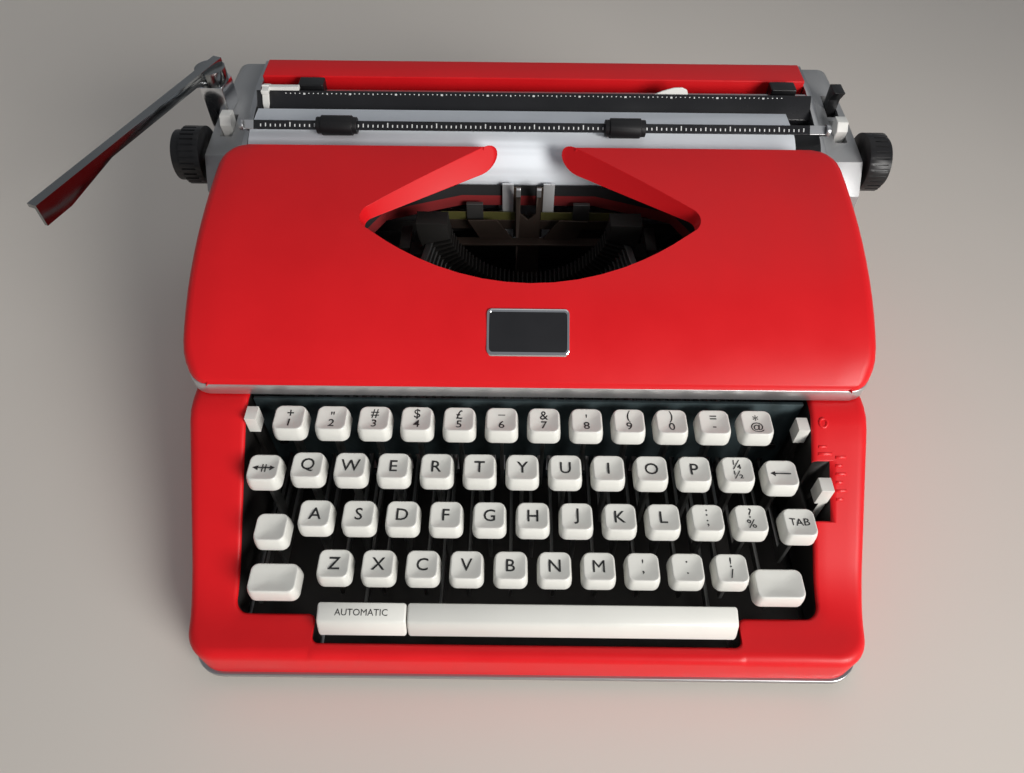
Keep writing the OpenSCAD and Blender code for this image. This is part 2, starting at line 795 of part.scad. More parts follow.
module paper_release_lever() {
  top = end_z(paper_release_y) + 12;
  color(black) on_carriage() difference() {
    union() {
      x_rod(release_x, release_x + release_w, paper_release_y, release_pin_z, 3.5);
      side_view(release_x, release_x + release_w) polygon([
        [paper_release_y - 2.5, release_pin_z], [paper_release_y - 3, top - 6], [paper_release_y - 7, top],
        [paper_release_y + 3, top], [paper_release_y + 2.5, release_pin_z]]);
    }
    x_rod(release_x - cut, release_x + release_w + cut, paper_release_y, release_pin_z, pin_r + run_gap);
  }
}

// Red strip that closes the carriage's rear
module rear_cover() {
  t = rear_cover_t;
  y0 = rear_cover_y;
  y1 = carriage_rear;
  top = rear_cover_z;
  bend = 4;
  color(red) on_carriage() side_view(-cheek_x, cheek_x) polygon([
    [y0, top - 10], [y0, top], [y1 - bend, top], [y1, top - bend], [y1, plate_z + 8],
    [y1 - t, plate_z + 8], [y1 - t, top - bend - t / 2], [y1 - bend - t / 2, top - t], [y0 + t, top - t], [y0 + t, top - 10]]);
}

module paper_table() {
  t = 1.2;
  low = platen_z - 10;
  top = platen_z + 20;
  color(black) on_carriage() side_view(-cheek_x, cheek_x) polygon([
    [table_y - 1, low], [table_y - 1, platen_z + 10], [table_y + 7, top], [table_y + 7 + t, top - 1],
    [table_y - 1 + t, platen_z + 9], [table_y - 1 + t, low]]);
}

// Short sheet round the platen, its leading edge lying back over the top
module paper_sheet() {
  wrap = 250;
  tail = 18;
  x0 = -platen_half + 0.5;
  color(ivory) on_carriage() {
    translate([x0, platen_y, platen_z]) rotate([90, 0, 90]) rotate([0, 0, 90])
      rotate_extrude(angle = wrap, $fn = 128) translate([paper_r, 0]) square([paper_t, paper_w]);
    box(x0, x0 + paper_w, platen_y, platen_y + tail, platen_z + paper_r, platen_z + paper_r + paper_t);
  }
}

module margin_stop(x) {
  g = slide_gap / 2;
  color(black) on_carriage() difference() {
    box(x - stop_w / 2, x + stop_w / 2, margin_rail_y - stop_grip, margin_rail_y + margin_rail_w + stop_grip,
        margin_rail_z - 2, margin_rail_z + margin_rail_h + 6);
    box(x - stop_w, x + stop_w, margin_rail_y - g, margin_rail_y + margin_rail_w + g,
        margin_rail_z - 2 - cut, margin_rail_z + margin_rail_h + g);
  }
}

module margin_stop_left() {
  margin_stop(stop_left_x);
}

module margin_stop_right() {
  margin_stop(stop_right_x);
}

// White side guide that clips over the top edge of the paper table
module paper_guide() {
  x = -cheek_x + 4;
  top = platen_z + 20 + slide_gap;
  color(ivory) on_carriage() {
    side_view(x, x + 4) polygon([
      [table_y + 2, top], [table_y + 2, top + 2], [table_y + 9.7, top + 2], [table_y + 9.7, top - 5],
      [table_y + 8.5, top - 5], [table_y + 8.5, top]]);
    box(x + 4 - cut, x + 20, table_y + 6, table_y + 9, top, top + 2);
  }
}

module lever_bracket() {
  color(chrome) {
    difference() {
      translate([lever_pivot.x, lever_pivot.y, end_z0 + 12]) linear_extrude(lever_hub_z - slide_gap - end_z0 - 12)
        polygon([[-6, -7], [6, -7], [8, 6], [2, 12], [-6, 10]]);
      on_carriage() mirror([1, 0, 0]) end_block();
    }
    translate([lever_pivot.x, lever_pivot.y, lever_hub_z - slide_gap - cut])
      cylinder(r = lever_pin_r, h = 7);
  }
}

// Carriage return lever: flat bar on top, pull face hanging from its inner edge
module return_lever() {
  web_t = 1.8;
  pull_l = 46;
  web_d = 5;
  color(chrome) translate([lever_pivot.x, lever_pivot.y, 0]) rotate(-lever_angle) {
    difference() {
      translate([0, 0, lever_hub_z]) cylinder(r = lever_hub_r, h = lever_top - lever_plate_t - lever_hub_z);
      translate([0, 0, lever_hub_z - cut]) cylinder(r = lever_pin_r + run_gap, h = 7.5);
    }
    translate([0, 0, lever_top - lever_plate_t]) linear_extrude(lever_plate_t) polygon([
      [-lever_w / 2, -lever_reach], [lever_w / 2, -lever_reach], [lever_w / 2, lever_tail],
      [-lever_w / 2, lever_tail]]);
    side_view(lever_w / 2 - web_t, lever_w / 2) polygon([
      [-lever_reach, lever_top - lever_pull_d], [-lever_reach, lever_top - lever_plate_t],
      [-lever_hub_r + 1, lever_top - lever_plate_t], [-lever_hub_r + 1, lever_hub_z + 1],
      [-lever_hub_r * 2, lever_top - web_d], [-lever_reach + pull_l, lever_top - web_d],
      [-lever_reach + pull_l / 3, lever_top - lever_pull_d]]);
  }
}

// Platen and rollers

module platen() {
  color(rubber) on_carriage() difference() {
    x_rod(-platen_half, platen_half, platen_y, platen_z, platen_r);
    x_rod(-platen_half - cut, platen_half + cut, platen_y, platen_z, platen_shaft_r);
  }
}

// Shaft through both housings, with the line space ratchet on its left end
module platen_shaft() {
  ratchet_teeth = 20;
  ratchet_r = 9;
  color(steel) on_carriage() {
    x_rod(-end_out - knob_l + 4, end_out + knob_right_l - 4, platen_y, platen_z, platen_shaft_r);
    translate([-platen_half - 2.5, platen_y, platen_z]) rotate([90, 0, 90]) linear_extrude(2.3)
      polygon([for (i = [0:2 * ratchet_teeth - 1]) let (a = i * 180 / ratchet_teeth, r = ratchet_r + (i % 2))
               [r * cos(a), r * sin(a)]]);
  }
}

module knob(side) {
  x0 = end_out + 2;
  long = side < 0 ? knob_l : knob_right_l;
  cap_l = side < 0 ? 5 : 2;
  groove_n = 30;
  color(rubber) on_carriage() mirror([side < 0 ? 1 : 0, 0, 0]) difference() {
    union() {
      x_rod(x0, x0 + long - cap_l, platen_y, platen_z, knob_r);
      x_rod(x0 + long - cap_l - cut, x0 + long, platen_y, platen_z, knob_r - 2);
    }
    x_rod(x0 - cut, x0 + long - 6, platen_y, platen_z, platen_shaft_r);
    for (i = [0:groove_n - 1]) translate([0, platen_y, platen_z]) rotate([i * 360 / groove_n, 0, 0])
      box(x0 + 3, x0 + long - cap_l + cut, -0.5, 0.5, knob_r - 0.7, knob_r + cut);
  }
}

module knob_left() {
  knob(-1);
}

module knob_right() {
  knob(1);
}

module feed_roller(a) {
  y = platen_y + feed_reach * cos(a);
  z = platen_z + feed_reach * sin(a);
  roll_l = 36;
  n = 4;
  gap = (2 * platen_half - n * roll_l) / n;
  color(rubber) on_carriage() {
    x_rod(-end_x, end_x, y, z, feed_shaft_r);
    for (i = [0:n - 1]) let (x = -platen_half + gap / 2 + i * (roll_l + gap)) x_rod(x, x + roll_l, y, z, feed_r);
  }
}

module feed_roller_front() {
  feed_roller(feed_angles[0]);
}

module feed_roller_rear() {
  feed_roller(feed_angles[1]);
}

module paper_bail() {
  x1 = cheek_x - slide_gap;
  x0 = x1 - bail_arm_t;
  arm_w = 5;
  eye_r = 3;
  arm = bail_at - bail_pivot;
  color(steel) on_carriage() {
    x_rod(-x1, x1, bail_at.x, bail_at.y, bail_r);
    both_sides() {
      x_rod(x0, end_x, bail_pivot.x, bail_pivot.y, feed_shaft_r);
      translate([x0, bail_pivot.x, bail_pivot.y]) rotate([atan2(arm.y, arm.x), 0, 0])
        translate([0, 0, -arm_w / 2]) cube([bail_arm_t, norm(arm), arm_w]);
      x_rod(x0, x1, bail_at.x, bail_at.y, eye_r);
      x_rod(x0, x1, bail_pivot.x, bail_pivot.y, eye_r);
    }
  }
}

module bail_rollers() {
  color(rubber) on_carriage() for (x = bail_roller_x) difference() {
    union() {
      x_rod(x - bail_roller_l / 2 + 2.5, x + bail_roller_l / 2 - 2.5, bail_at.x, bail_at.y, bail_roller_r);
      x_rod(x - bail_roller_l / 2, x + bail_roller_l / 2, bail_at.x, bail_at.y, bail_roller_r - 0.8);
    }
    x_rod(x - bail_roller_l, x + bail_roller_l, bail_at.x, bail_at.y, bail_r + run_gap);
  }
}

// Type basket

module segment() {
  slot_w = typebar_t + 0.4;
  color(steel) translate(basket) {
    difference() {
      union() {
        rotate([90, 0, 0]) rotate([0, 0, -180]) translate([0, 0, -segment_t / 2]) rotate_extrude(angle = 180, $fn = 128)
          translate([segment_in, 0]) square([segment_out - segment_in, segment_t]);
        both_sides() box(segment_out - 6, segment_ear_x, -segment_t / 2, segment_t / 2, -30, -20);
      }
      for (i = [0:typebar_n - 1]) rotate([0, typebar_angle(i), 0])
        box(-slot_w / 2, slot_w / 2, -segment_t, segment_t, -segment_r - heel_r - 0.6, -segment_in + 4);
    }
  }
}

// One typebar in its own plane, turning at the origin and lying forward
module typebar() {
  rotate([0, 90, 0]) translate([0, 0, -typebar_t / 2]) cylinder(r = heel_r, h = typebar_t);
  box(-typebar_t / 2, typebar_t / 2, -typebar_l, 0, -typebar_h / 2, typebar_h / 2);
  translate([0, -typebar_l + slug.y / 2, 0]) rotate([slug_turn, 0, 0])
    box(-slug.x / 2, slug.x / 2, -slug.y / 2, slug.y / 2, -slug.z / 2, slug.z / 2);
}

module typebar_in_segment(i) {
  translate(basket) rotate([0, typebar_angle(i), 0]) translate([0, 0, -segment_r]) rotate([typebar_tilt, 0, 0])
    typebar();
}

module typebars() {
  color(steel) for (i = [0:typebar_n - 1]) if (i != working_bar) typebar_in_segment(i);
}

module typebar_h() {
  color(chrome) typebar_in_segment(working_bar);
}

// Fork behind the type guide that lifts the ribbon to the printing point
module ribbon_vibrator() {
  low = ribbon_z - 25;
  color(chrome) {
    both_sides() box(8, 14, vibrator_y, vibrator_y + vibrator_t, low, ribbon_z + ribbon_h + 2);
    box(-9, 9, vibrator_y, vibrator_y + vibrator_t, low, low + 4);
  }
}

module spool(side) {
  flange_t = 1.2;
  color(steel) translate([side * spool_at.x, spool_at.y, spool_z + slide_gap]) difference() {
    union() {
      cylinder(r = spool_r, h = flange_t);
      cylinder(r = wound_r, h = spool_h);
      translate([0, 0, spool_h - flange_t]) cylinder(r = spool_r, h = flange_t);
    }
    translate([0, 0, -cut]) cylinder(r = spindle_r + run_gap, h = spool_h + 2 * cut);
  }
}

module spool_left() {
  spool(-1);
}

module spool_right() {
  spool(1);
}

// Carriage drive

module mainspring_drum() {
  color(steel) {
    y_rod(drum_at.x, drum_at.y, rear_bar_y - 22, rear_bar_y - slide_gap, drum_r);
    y_rod(drum_at.x, drum_at.y, rear_bar_y - cut, rear_bar_y + 5, drum_shaft_r);
  }
}

module escapement_wheel() {
  star_teeth = 24;
  star_r = pinion_r + 1.5;
  root_r = pinion_r - 2.2;
  tip_r = pinion_r + 1.6;
  color(steel) {
    y_rod(0, pinion_z, rack_y, rear_bar_y + 5, drum_shaft_r);
    y_rod(0, pinion_z, rack_y, rack_y + rack_w, root_r);
    for (i = [0:pinion_teeth - 1]) translate([0, rack_y + rack_w, pinion_z])
      rotate([90, (i + 0.5) * 360 / pinion_teeth, 0]) linear_extrude(rack_w)
      polygon([[-1.1, root_r - 1], [-1.1, root_r], [-0.4, tip_r], [0.4, tip_r], [1.1, root_r], [1.1, root_r - 1]]);
    translate([0, rear_bar_y - 1, pinion_z]) rotate([90, 0, 0]) linear_extrude(2)
      polygon([for (i = [0:2 * star_teeth - 1]) let (a = i * 180 / star_teeth, r = star_r - 2 * (i % 2))
               [r * cos(a), r * sin(a)]]);
  }
}

// Keyboard

// Cap with sloping sides and a dished top
module cap(w, d, h) {
  taper = 1.2;
  dish_r = 26;
  dish = 0.9;
  difference() {
    intersection() {
      translate([0, d / 2, 0]) rotate([90, 0, 0]) linear_extrude(d)
        polygon([[-w / 2, -h], [w / 2, -h], [w / 2 - taper, 0], [-w / 2 + taper, 0]]);
      side_view(-w / 2, w / 2) polygon([[-d / 2, -h], [d / 2, -h], [d / 2 - taper, 0], [-d / 2 + taper, 0]]);
    }
    translate([0, 0, dish_r - dish]) sphere(dish_r);
  }
}

// Lever from a key's stem back to the rod that it turns on
module key_lever(x, y, top) {
  difference() {
    union() {
      box(x - key_lever_t / 2, x + key_lever_t / 2, y - 3, y + 3, key_lever_z, top);
      box(x - key_lever_t / 2, x + key_lever_t / 2, y - 3, fulcrum_y, key_lever_z, key_lever_z + key_lever_h);
      x_rod(x - key_lever_t / 2, x + key_lever_t / 2, fulcrum_y, fulcrum_z, hub_r);
    }
    x_rod(x - cut - key_lever_t, x + cut + key_lever_t, fulcrum_y, fulcrum_z, fulcrum_r + run_gap);
  }
}

module key(x, y, z, w = cap_w, d = cap_d, lever_x = undef) {
  color(ivory) translate([x, y, z]) cap(w, d, cap_h);
  color(steel) key_lever(is_undef(lever_x) ? x : lever_x, y, z - cap_h + 1);
}

module key_row(r) {
  for (i = [0:row_count[r] - 1]) if (r != home_row || i != working_key) key(key_x(r, i), row_y(r), row_z(r));
}

module keys_bottom_row() {
  key_row(0);
}

module keys_home_row() {
  key_row(1);
}

module keys_top_row() {
  key_row(2);
}

module keys_number_row() {
  key_row(3);
}

module key_h() {
  key(key_x(home_row, working_key), row_y(home_row), row_z(home_row));
}

module shift_keys() {
  for (i = [0, 1]) key(shift_x[i], shift_y, shift_z, w = shift_cap_w, lever_x = shift_lever_x[i]);
}

module shift_lock() {
  key(shift_lock_x, row_y(1) - 5, row_z(1) - 3.4);
}

module margin_release() {
  key(margin_release_x, row_y(2) - 1.5, row_z(2));
}

module backspace() {
  key(backspace_x, row_y(2) - 1.5, row_z(2));
}

module tab_key() {
  key(tab_x, row_y(1) - 1.5, row_z(1));
}

// Space bar and the shorter bar beside it
module bar_cap(x0, x1) {
  color(ivory) side_view(x0, x1) polygon([
    [bar_y - 6, bar_z - 11], [bar_y - 3, bar_z - 2], [bar_y + 4, bar_z], [bar_y + 5.5, bar_z - 10]]);
}

module space_bar() {
  bar_cap(bar_ends[2], bar_ends[3]);
  color(steel) for (i = [1, 2]) key_lever(bar_lever_x[i], bar_y, bar_z - 8);
}

module automatic_bar() {
  bar_cap(bar_ends[0], bar_ends[1]);
  color(steel) key_lever(bar_lever_x[0], bar_y, bar_z - 8);
}

// Small levers beside the keys

// Lever on the inside of the keyboard opening's right wall, its pin in the wall
module small_lever(top) {
  x = well_w / 2 - 3;
  color(ivory) {
    box(x - 3, x + 2, small_lever_y - 4, small_lever_y + 3, top - 10, top);
    box(x - 1, x + 1, small_lever_y - 2.5, small_lever_y + 2.5, small_pin_z, top - 9);
    x_rod(x - 1, well_w / 2 - slide_gap, small_lever_y, small_pin_z, 2.5);
    x_rod(x - 1, well_w / 2 + well_wall, small_lever_y, small_pin_z, pin_r);
  }
}

module ribbon_selector() {
  mirror([1, 0, 0]) small_lever(small_lever_z[0]);
}

module tab_lever() {
  small_lever(small_lever_z[1]);
}

module touch_lever() {
  x = touch_x + touch_w / 2;
  y = (touch_y[0] + touch_y[1]) / 2;
  color(ivory) {
    box(x - 1.7, x + 1.7, y - 3.5, y + 3.5, touch_pin_z - 3, touch_pin_z + 28);
    box(x - 3.6, x + 2.1, y - 3.5, y + 3.5, touch_pin_z + 17, touch_pin_z + 28);
    x_rod(well_w / 2, x, y, touch_pin_z, pin_r);
  }
}

placed() base_plate();
placed() rubber_feet();
placed() lower_case();
placed() side_frames();
placed() front_crossbar();
placed() rear_crossbar();
placed() carriage_rails();
placed() key_comb();
placed() key_fulcrum_rod();
placed() spool_supports();
placed() type_guide();
placed() ribbon();
placed() bell();
placed() cover();
placed() cover_trim();
placed() carriage_frame();
placed() end_left();
placed() end_right();
placed() rear_cover();
placed() paper_table();
placed() paper_sheet();
placed() lever_bracket();
placed() margin_stop_left();
placed() margin_stop_right();
placed() paper_guide();
placed() carriage_release_left();
placed() carriage_release_right();
placed() paper_release_lever();
placed() return_lever();
placed() platen();
placed() platen_shaft();
placed() knob_left();
placed() knob_right();
placed() feed_roller_front();
placed() feed_roller_rear();
placed() paper_bail();
placed() bail_rollers();
placed() segment();
placed() typebars();
placed() typebar_h();
placed() ribbon_vibrator();
placed() spool_left();
placed() spool_right();
placed() mainspring_drum();
placed() escapement_wheel();
placed() keys_bottom_row();
placed() keys_home_row();
placed() keys_top_row();
placed() keys_number_row();
placed() key_h();
placed() shift_keys();
placed() shift_lock();
placed() margin_release();
placed() backspace();
placed() tab_key();
placed() space_bar();
placed() automatic_bar();
placed() ribbon_selector();
placed() tab_lever();
placed() touch_lever();
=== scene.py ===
import json
import math

import bmesh
import bpy
from mathutils import Matrix, Vector

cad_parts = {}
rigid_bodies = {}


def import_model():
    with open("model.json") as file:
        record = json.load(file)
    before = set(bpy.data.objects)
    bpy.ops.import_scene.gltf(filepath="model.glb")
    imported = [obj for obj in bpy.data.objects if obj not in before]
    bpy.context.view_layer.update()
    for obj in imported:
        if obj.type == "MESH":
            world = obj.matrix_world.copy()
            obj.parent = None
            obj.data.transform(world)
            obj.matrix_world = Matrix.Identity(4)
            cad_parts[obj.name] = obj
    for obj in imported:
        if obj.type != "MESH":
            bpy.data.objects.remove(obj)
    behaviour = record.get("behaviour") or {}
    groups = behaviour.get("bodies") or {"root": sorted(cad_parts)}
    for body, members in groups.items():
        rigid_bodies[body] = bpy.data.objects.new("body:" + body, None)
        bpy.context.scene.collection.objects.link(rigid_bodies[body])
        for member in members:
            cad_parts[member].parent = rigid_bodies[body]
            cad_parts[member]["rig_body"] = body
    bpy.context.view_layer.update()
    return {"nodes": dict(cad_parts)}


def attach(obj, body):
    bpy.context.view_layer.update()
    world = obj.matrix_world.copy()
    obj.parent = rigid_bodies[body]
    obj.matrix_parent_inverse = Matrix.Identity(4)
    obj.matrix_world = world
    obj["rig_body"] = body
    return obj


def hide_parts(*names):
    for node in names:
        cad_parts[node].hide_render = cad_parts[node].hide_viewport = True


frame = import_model()
scene = bpy.context.scene

# Body millimetres: x right of the middle, y back from the base's front edge, z up from the desk
SHIFT = Vector((13.6454, -158.5, 0.0))
CARRIAGE_X = 2.5


def at(x, y, z):
    """Row frame point of a body point."""
    return (Vector((x, y, z)) + SHIFT) / 1000


# Materials

NOISE_LOW, NOISE_HIGH = 0.3, 0.7
GLOSS_SPREAD, LEAST_ROUGH, COAT_ROUGH = 0.06, 0.03, 0.15
RELIEF_DEPTH = 0.0003


def add_material(name, colour, rough, metal=0.0, coat=0.0, cloud=28, spread=0.08, grain=900, bump=0.06,
                 stretch=(1, 1, 1), shine=0.5):
    """Principled material whose colour, gloss and relief follow a wide and a fine noise."""
    material = bpy.data.materials.new(name)
    material.use_nodes = True
    nodes = material.node_tree.nodes
    link = material.node_tree.links.new
    shader = nodes["Principled BSDF"]
    shader.inputs["Metallic"].default_value = metal
    shader.inputs["Specular IOR Level"].default_value = shine
    shader.inputs["Coat Weight"].default_value = coat
    shader.inputs["Coat Roughness"].default_value = COAT_ROUGH
    place = nodes.new("ShaderNodeTexCoord")
    mapping = nodes.new("ShaderNodeMapping")
    mapping.inputs["Scale"].default_value = stretch
    link(place.outputs["Object"], mapping.inputs["Vector"])

    def noise(scale, detail):
        texture = nodes.new("ShaderNodeTexNoise")
        texture.inputs["Scale"].default_value = scale
        texture.inputs["Detail"].default_value = detail
        link(mapping.outputs["Vector"], texture.inputs["Vector"])
        return texture.outputs["Fac"]

    wide = noise(cloud, 4)
    fine = noise(grain, 3)
    ramp = nodes.new("ShaderNodeValToRGB")
    ramp.name = "colour"
    steps = ((NOISE_LOW, 1 - spread), (NOISE_HIGH, 1 + spread / 2))
    for element, (position, level) in zip(ramp.color_ramp.elements, steps):
        element.position = position
        element.color = [min(1, c * level) for c in colour] + [1]
    link(wide, ramp.inputs["Fac"])
    link(ramp.outputs["Color"], shader.inputs["Base Color"])
    gloss = nodes.new("ShaderNodeMapRange")
    gloss.inputs["From Min"].default_value = NOISE_LOW
    gloss.inputs["From Max"].default_value = NOISE_HIGH
    gloss.inputs["To Min"].default_value = max(LEAST_ROUGH, rough - GLOSS_SPREAD)
    gloss.inputs["To Max"].default_value = rough + GLOSS_SPREAD
    link(wide, gloss.inputs["Value"])
    link(gloss.outputs["Result"], shader.inputs["Roughness"])
    relief = nodes.new("ShaderNodeBump")
    relief.inputs["Strength"].default_value = bump
    relief.inputs["Distance"].default_value = RELIEF_DEPTH
    link(fine, relief.inputs["Height"])
    link(relief.outputs["Normal"], shader.inputs["Normal"])
    return material


def split_by_height(material, colour, level):
    """Gives the material a second colour below a height in millimetres."""
    tree = material.node_tree
    shader = tree.nodes["Principled BSDF"]
    place = tree.nodes.new("ShaderNodeTexCoord")
    parts = tree.nodes.new("ShaderNodeSeparateXYZ")
    tree.links.new(place.outputs["Object"], parts.inputs["Vector"])
    above = tree.nodes.new("ShaderNodeMath")
    above.operation = "GREATER_THAN"
    above.inputs[1].default_value = level / 1000
    tree.links.new(parts.outputs["Z"], above.inputs[0])
    mix = tree.nodes.new("ShaderNodeMix")
    mix.data_type = "RGBA"
    mix.inputs["A"].default_value = (*colour, 1)
    tree.links.new(above.outputs["Value"], mix.inputs["Factor"])
    tree.links.new(tree.nodes["colour"].outputs["Color"], mix.inputs["B"])
    tree.links.new(mix.outputs["Result"], shader.inputs["Base Color"])


red = add_material("red_paint", (0.67, 0.009, 0.013), 0.4, coat=0.05, spread=0.05, grain=1400, bump=0.05,
                   shine=0.22)
grey = add_material("grey_paint", (0.36, 0.365, 0.37), 0.36, metal=0.55, spread=0.08, grain=1800, bump=0.08)
chrome = add_material("chrome", (0.74, 0.75, 0.77), 0.13, metal=1.0, spread=0.06, grain=500, bump=0.03)
steel = add_material("steel", (0.5, 0.505, 0.515), 0.34, metal=1.0, spread=0.14, grain=700, bump=0.06,
                     stretch=(0.2, 3, 3))
satin = add_material("satin_metal", (0.66, 0.66, 0.67), 0.36, metal=0.9, spread=0.08, grain=900, bump=0.05,
                     stretch=(0.3, 2, 2))
# Dark steel of the frames, spools and lever stems; the same dark is also painted as shade on the case's inner
# walls and bottom, the slot's sides and the sheet under the keys.
dark_steel_and_shade = add_material("dark_steel_and_shade", (0.045, 0.042, 0.04), 0.45, metal=0.6, spread=0.25, grain=700,
                          bump=0.1)
bronze = add_material("bronze_plate", (0.085, 0.062, 0.05), 0.4, metal=0.6, spread=0.3, grain=700, bump=0.1)
lever_steel = add_material("lever_steel", (0.22, 0.22, 0.215), 0.4, metal=0.9, spread=0.2, grain=600,
                           bump=0.08)
comb_paint = add_material("comb_paint", (0.055, 0.078, 0.084), 0.36, metal=0.4, spread=0.35, grain=900,
                          bump=0.1, stretch=(4, 1, 0.4))
ivory = add_material("ivory_plastic", (0.72, 0.715, 0.67), 0.34, spread=0.04, grain=1100, bump=0.04)
white = add_material("white_plastic", (0.78, 0.775, 0.74), 0.38, spread=0.04, grain=1100, bump=0.04)
ink = add_material("legend_ink", (0.012, 0.012, 0.013), 0.5, spread=0.2, grain=2500, bump=0.05)
white_ink = add_material("scale_ink", (0.74, 0.75, 0.74), 0.55, spread=0.12, grain=2500, bump=0.05)
rubber = add_material("rubber", (0.009, 0.009, 0.01), 0.5, spread=0.25, grain=1600, bump=0.14, shine=0.3)
black = add_material("black_plastic", (0.009, 0.009, 0.01), 0.36, spread=0.2, grain=1500, bump=0.08,
                     shine=0.35)
black_paint = add_material("black_paint", (0.014, 0.014, 0.016), 0.3, spread=0.25, grain=1600, bump=0.08)
paper = add_material("paper", (0.84, 0.88, 0.93), 0.75, spread=0.035, cloud=60, grain=2600, bump=0.12)
ribbon_cloth = add_material("ribbon_cloth", (0.012, 0.012, 0.013), 0.85, spread=0.3, grain=3500, bump=0.3)
RIBBON_SPLIT_Z = 93.4
split_by_height(ribbon_cloth, (0.24, 0.012, 0.014), RIBBON_SPLIT_Z)
olive = add_material("olive_film", (0.1, 0.095, 0.03), 0.25, coat=0.5, spread=0.2, grain=900, bump=0.05)
brass = add_material("brass", (0.45, 0.33, 0.14), 0.32, metal=1.0, spread=0.15, grain=700, bump=0.06)
# Dull near-black of the typebar segment.
dull_near_black = add_material("dull_near_black", (0.012, 0.011, 0.01), 0.65, spread=0.3, grain=700, bump=0.1, shine=0.2)
lever_chrome = add_material("lever_chrome", (0.3, 0.31, 0.31), 0.16, metal=1.0, spread=0.12, grain=500,
                            bump=0.04)
bright_steel = add_material("bright_steel", (0.76, 0.77, 0.78), 0.3, metal=0.5, spread=0.08, grain=700,
                            bump=0.05)


# Making pieces

WELD_GAP, NODE_WELD_GAP = 2e-6, 1e-6
FLAT_ANGLE = 1
LETTER_BOLD = 0.008


def place_piece(name, mesh, materials, body, nodes):
    """Object of a mesh that rides on a body and stands for CAD nodes."""
    for material in materials:
        mesh.materials.append(material)
    obj = bpy.data.objects.new(name, mesh)
    scene.collection.objects.link(obj)
    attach(obj, body)
    if nodes:
        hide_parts(*nodes)
    return obj


def round_edges(obj, width, segments=2, angle=30):
    """Rounds the edges that turn more than an angle, and keeps the flats flat."""
    bevel = obj.modifiers.new("round_edges", "BEVEL")
    bevel.width = width / 1000
    bevel.segments = segments
    bevel.limit_method = "ANGLE"
    bevel.angle_limit = math.radians(angle)
    bevel.harden_normals = True


class Shape:
    """Points in body millimetres and faces, each with the number of its material."""

    def __init__(self):
        self.points = []
        self.faces = []
        self.marks = []

    def add(self, points, faces, mark=0):
        base = len(self.points)
        self.points += [tuple(p) for p in points]
        self.faces += [[base + i for i in face] for face in faces]
        self.marks += [mark] * len(faces)

    def loft(self, rings, mark=0, closed=True, cap=True, wrap=False):
        """Skin over rings of equal length; cap closes both ends, wrap joins the last ring to the first."""
        n = len(rings[0])
        faces = []
        for a in range(len(rings) if wrap else len(rings) - 1):
            after = (a + 1) % len(rings)
            for b in range(n if closed else n - 1):
                c = (b + 1) % n
                faces.append((a * n + b, a * n + c, after * n + c, after * n + b))
        if cap and not wrap:
            faces += [range(n), range((len(rings) - 1) * n, len(rings) * n)]
        self.add([p for ring in rings for p in ring], faces, mark)

    def lathe(self, x, z, profile, sides):
        """Turned form about a line along y; profile holds (y, radius)."""
        turns = [2 * math.pi * i / sides for i in range(sides)]
        self.loft([[(x + r * math.cos(t), y, z + r * math.sin(t)) for t in turns] for y, r in profile])

    def side_prism(self, x0, x1, outline, mark=0):
        """Outline in (y, z), drawn out from x0 to x1."""
        self.loft([[(x, y, z) for y, z in outline] for x in (x0, x1)], mark)

    def flat_prism(self, z0, z1, outline, mark=0):
        """Outline in (x, y), drawn out from z0 to z1."""
        self.loft([[(x, y, z) for x, y in outline] for z in (z0, z1)], mark)

    def mesh(self, name):
        """Welded mesh with its faces turned outwards."""
        bm = bmesh.new()
        verts = [bm.verts.new(at(*p)) for p in self.points]
        for face, mark in zip(self.faces, self.marks):
            made = bm.faces.new([verts[i] for i in face])
            made.material_index = mark
            made.smooth = True
        bmesh.ops.remove_doubles(bm, verts=bm.verts, dist=WELD_GAP)
        bmesh.ops.recalc_face_normals(bm, faces=bm.faces)
        mesh = bpy.data.meshes.new(name)
        bm.to_mesh(mesh)
        bm.free()
        return mesh

    def build(self, name, materials, body, *nodes, edge=0.0, sharp=None):
        """Piece of the scene; edge rounds its edges, sharp keeps those that turn more than an angle."""
        mesh = self.mesh(name)
        if sharp is not None:
            mesh.set_sharp_from_angle(angle=math.radians(sharp))
        obj = place_piece(name, mesh, materials, body, nodes)
        if edge:
            round_edges(obj, edge)
        return obj


def dress(node, material, edge=0.3, segments=2, keep=None, second=None, where=None):
    """Cleaned copy of a CAD node with rounded edges.

    Faces are told apart by their middle in body millimetres: keep says which stay, where says which take the
    second material."""
    source = frame["nodes"][node]
    bm = bmesh.new()
    bm.from_mesh(source.data)
    bmesh.ops.remove_doubles(bm, verts=bm.verts, dist=NODE_WELD_GAP)
    if keep:
        drop = [f for f in bm.faces if not keep(f.calc_center_median() * 1000 - SHIFT)]
        bmesh.ops.delete(bm, geom=drop, context="FACES")
    bmesh.ops.dissolve_limit(bm, angle_limit=math.radians(FLAT_ANGLE), verts=bm.verts, edges=bm.edges)
    for face in bm.faces:
        face.smooth = True
        face.material_index = int(bool(where and where(face.calc_center_median() * 1000 - SHIFT)))
    mesh = bpy.data.meshes.new(node + "_form")
    bm.to_mesh(mesh)
    bm.free()
    materials = [material, second] if second else [material]
    obj = place_piece(node + "_form", mesh, materials, source["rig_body"], [node])
    round_edges(obj, edge, segments)


def turned(degrees):
    """Cosine and sine of an angle."""
    return math.cos(math.radians(degrees)), math.sin(math.radians(degrees))


def rounded_square(x, y, half_w, half_d, radius, steps=6):
    """Points of a rectangle with round corners, seen from above."""
    points = []
    for cx, cy, start in ((1, 1, 0), (-1, 1, 90), (-1, -1, 180), (1, -1, 270)):
        for i in range(steps + 1):
            c, s = turned(start + 90 * i / steps)
            points.append((x + cx * (half_w - radius) + radius * c, y + cy * (half_d - radius) + radius * s))
    return points


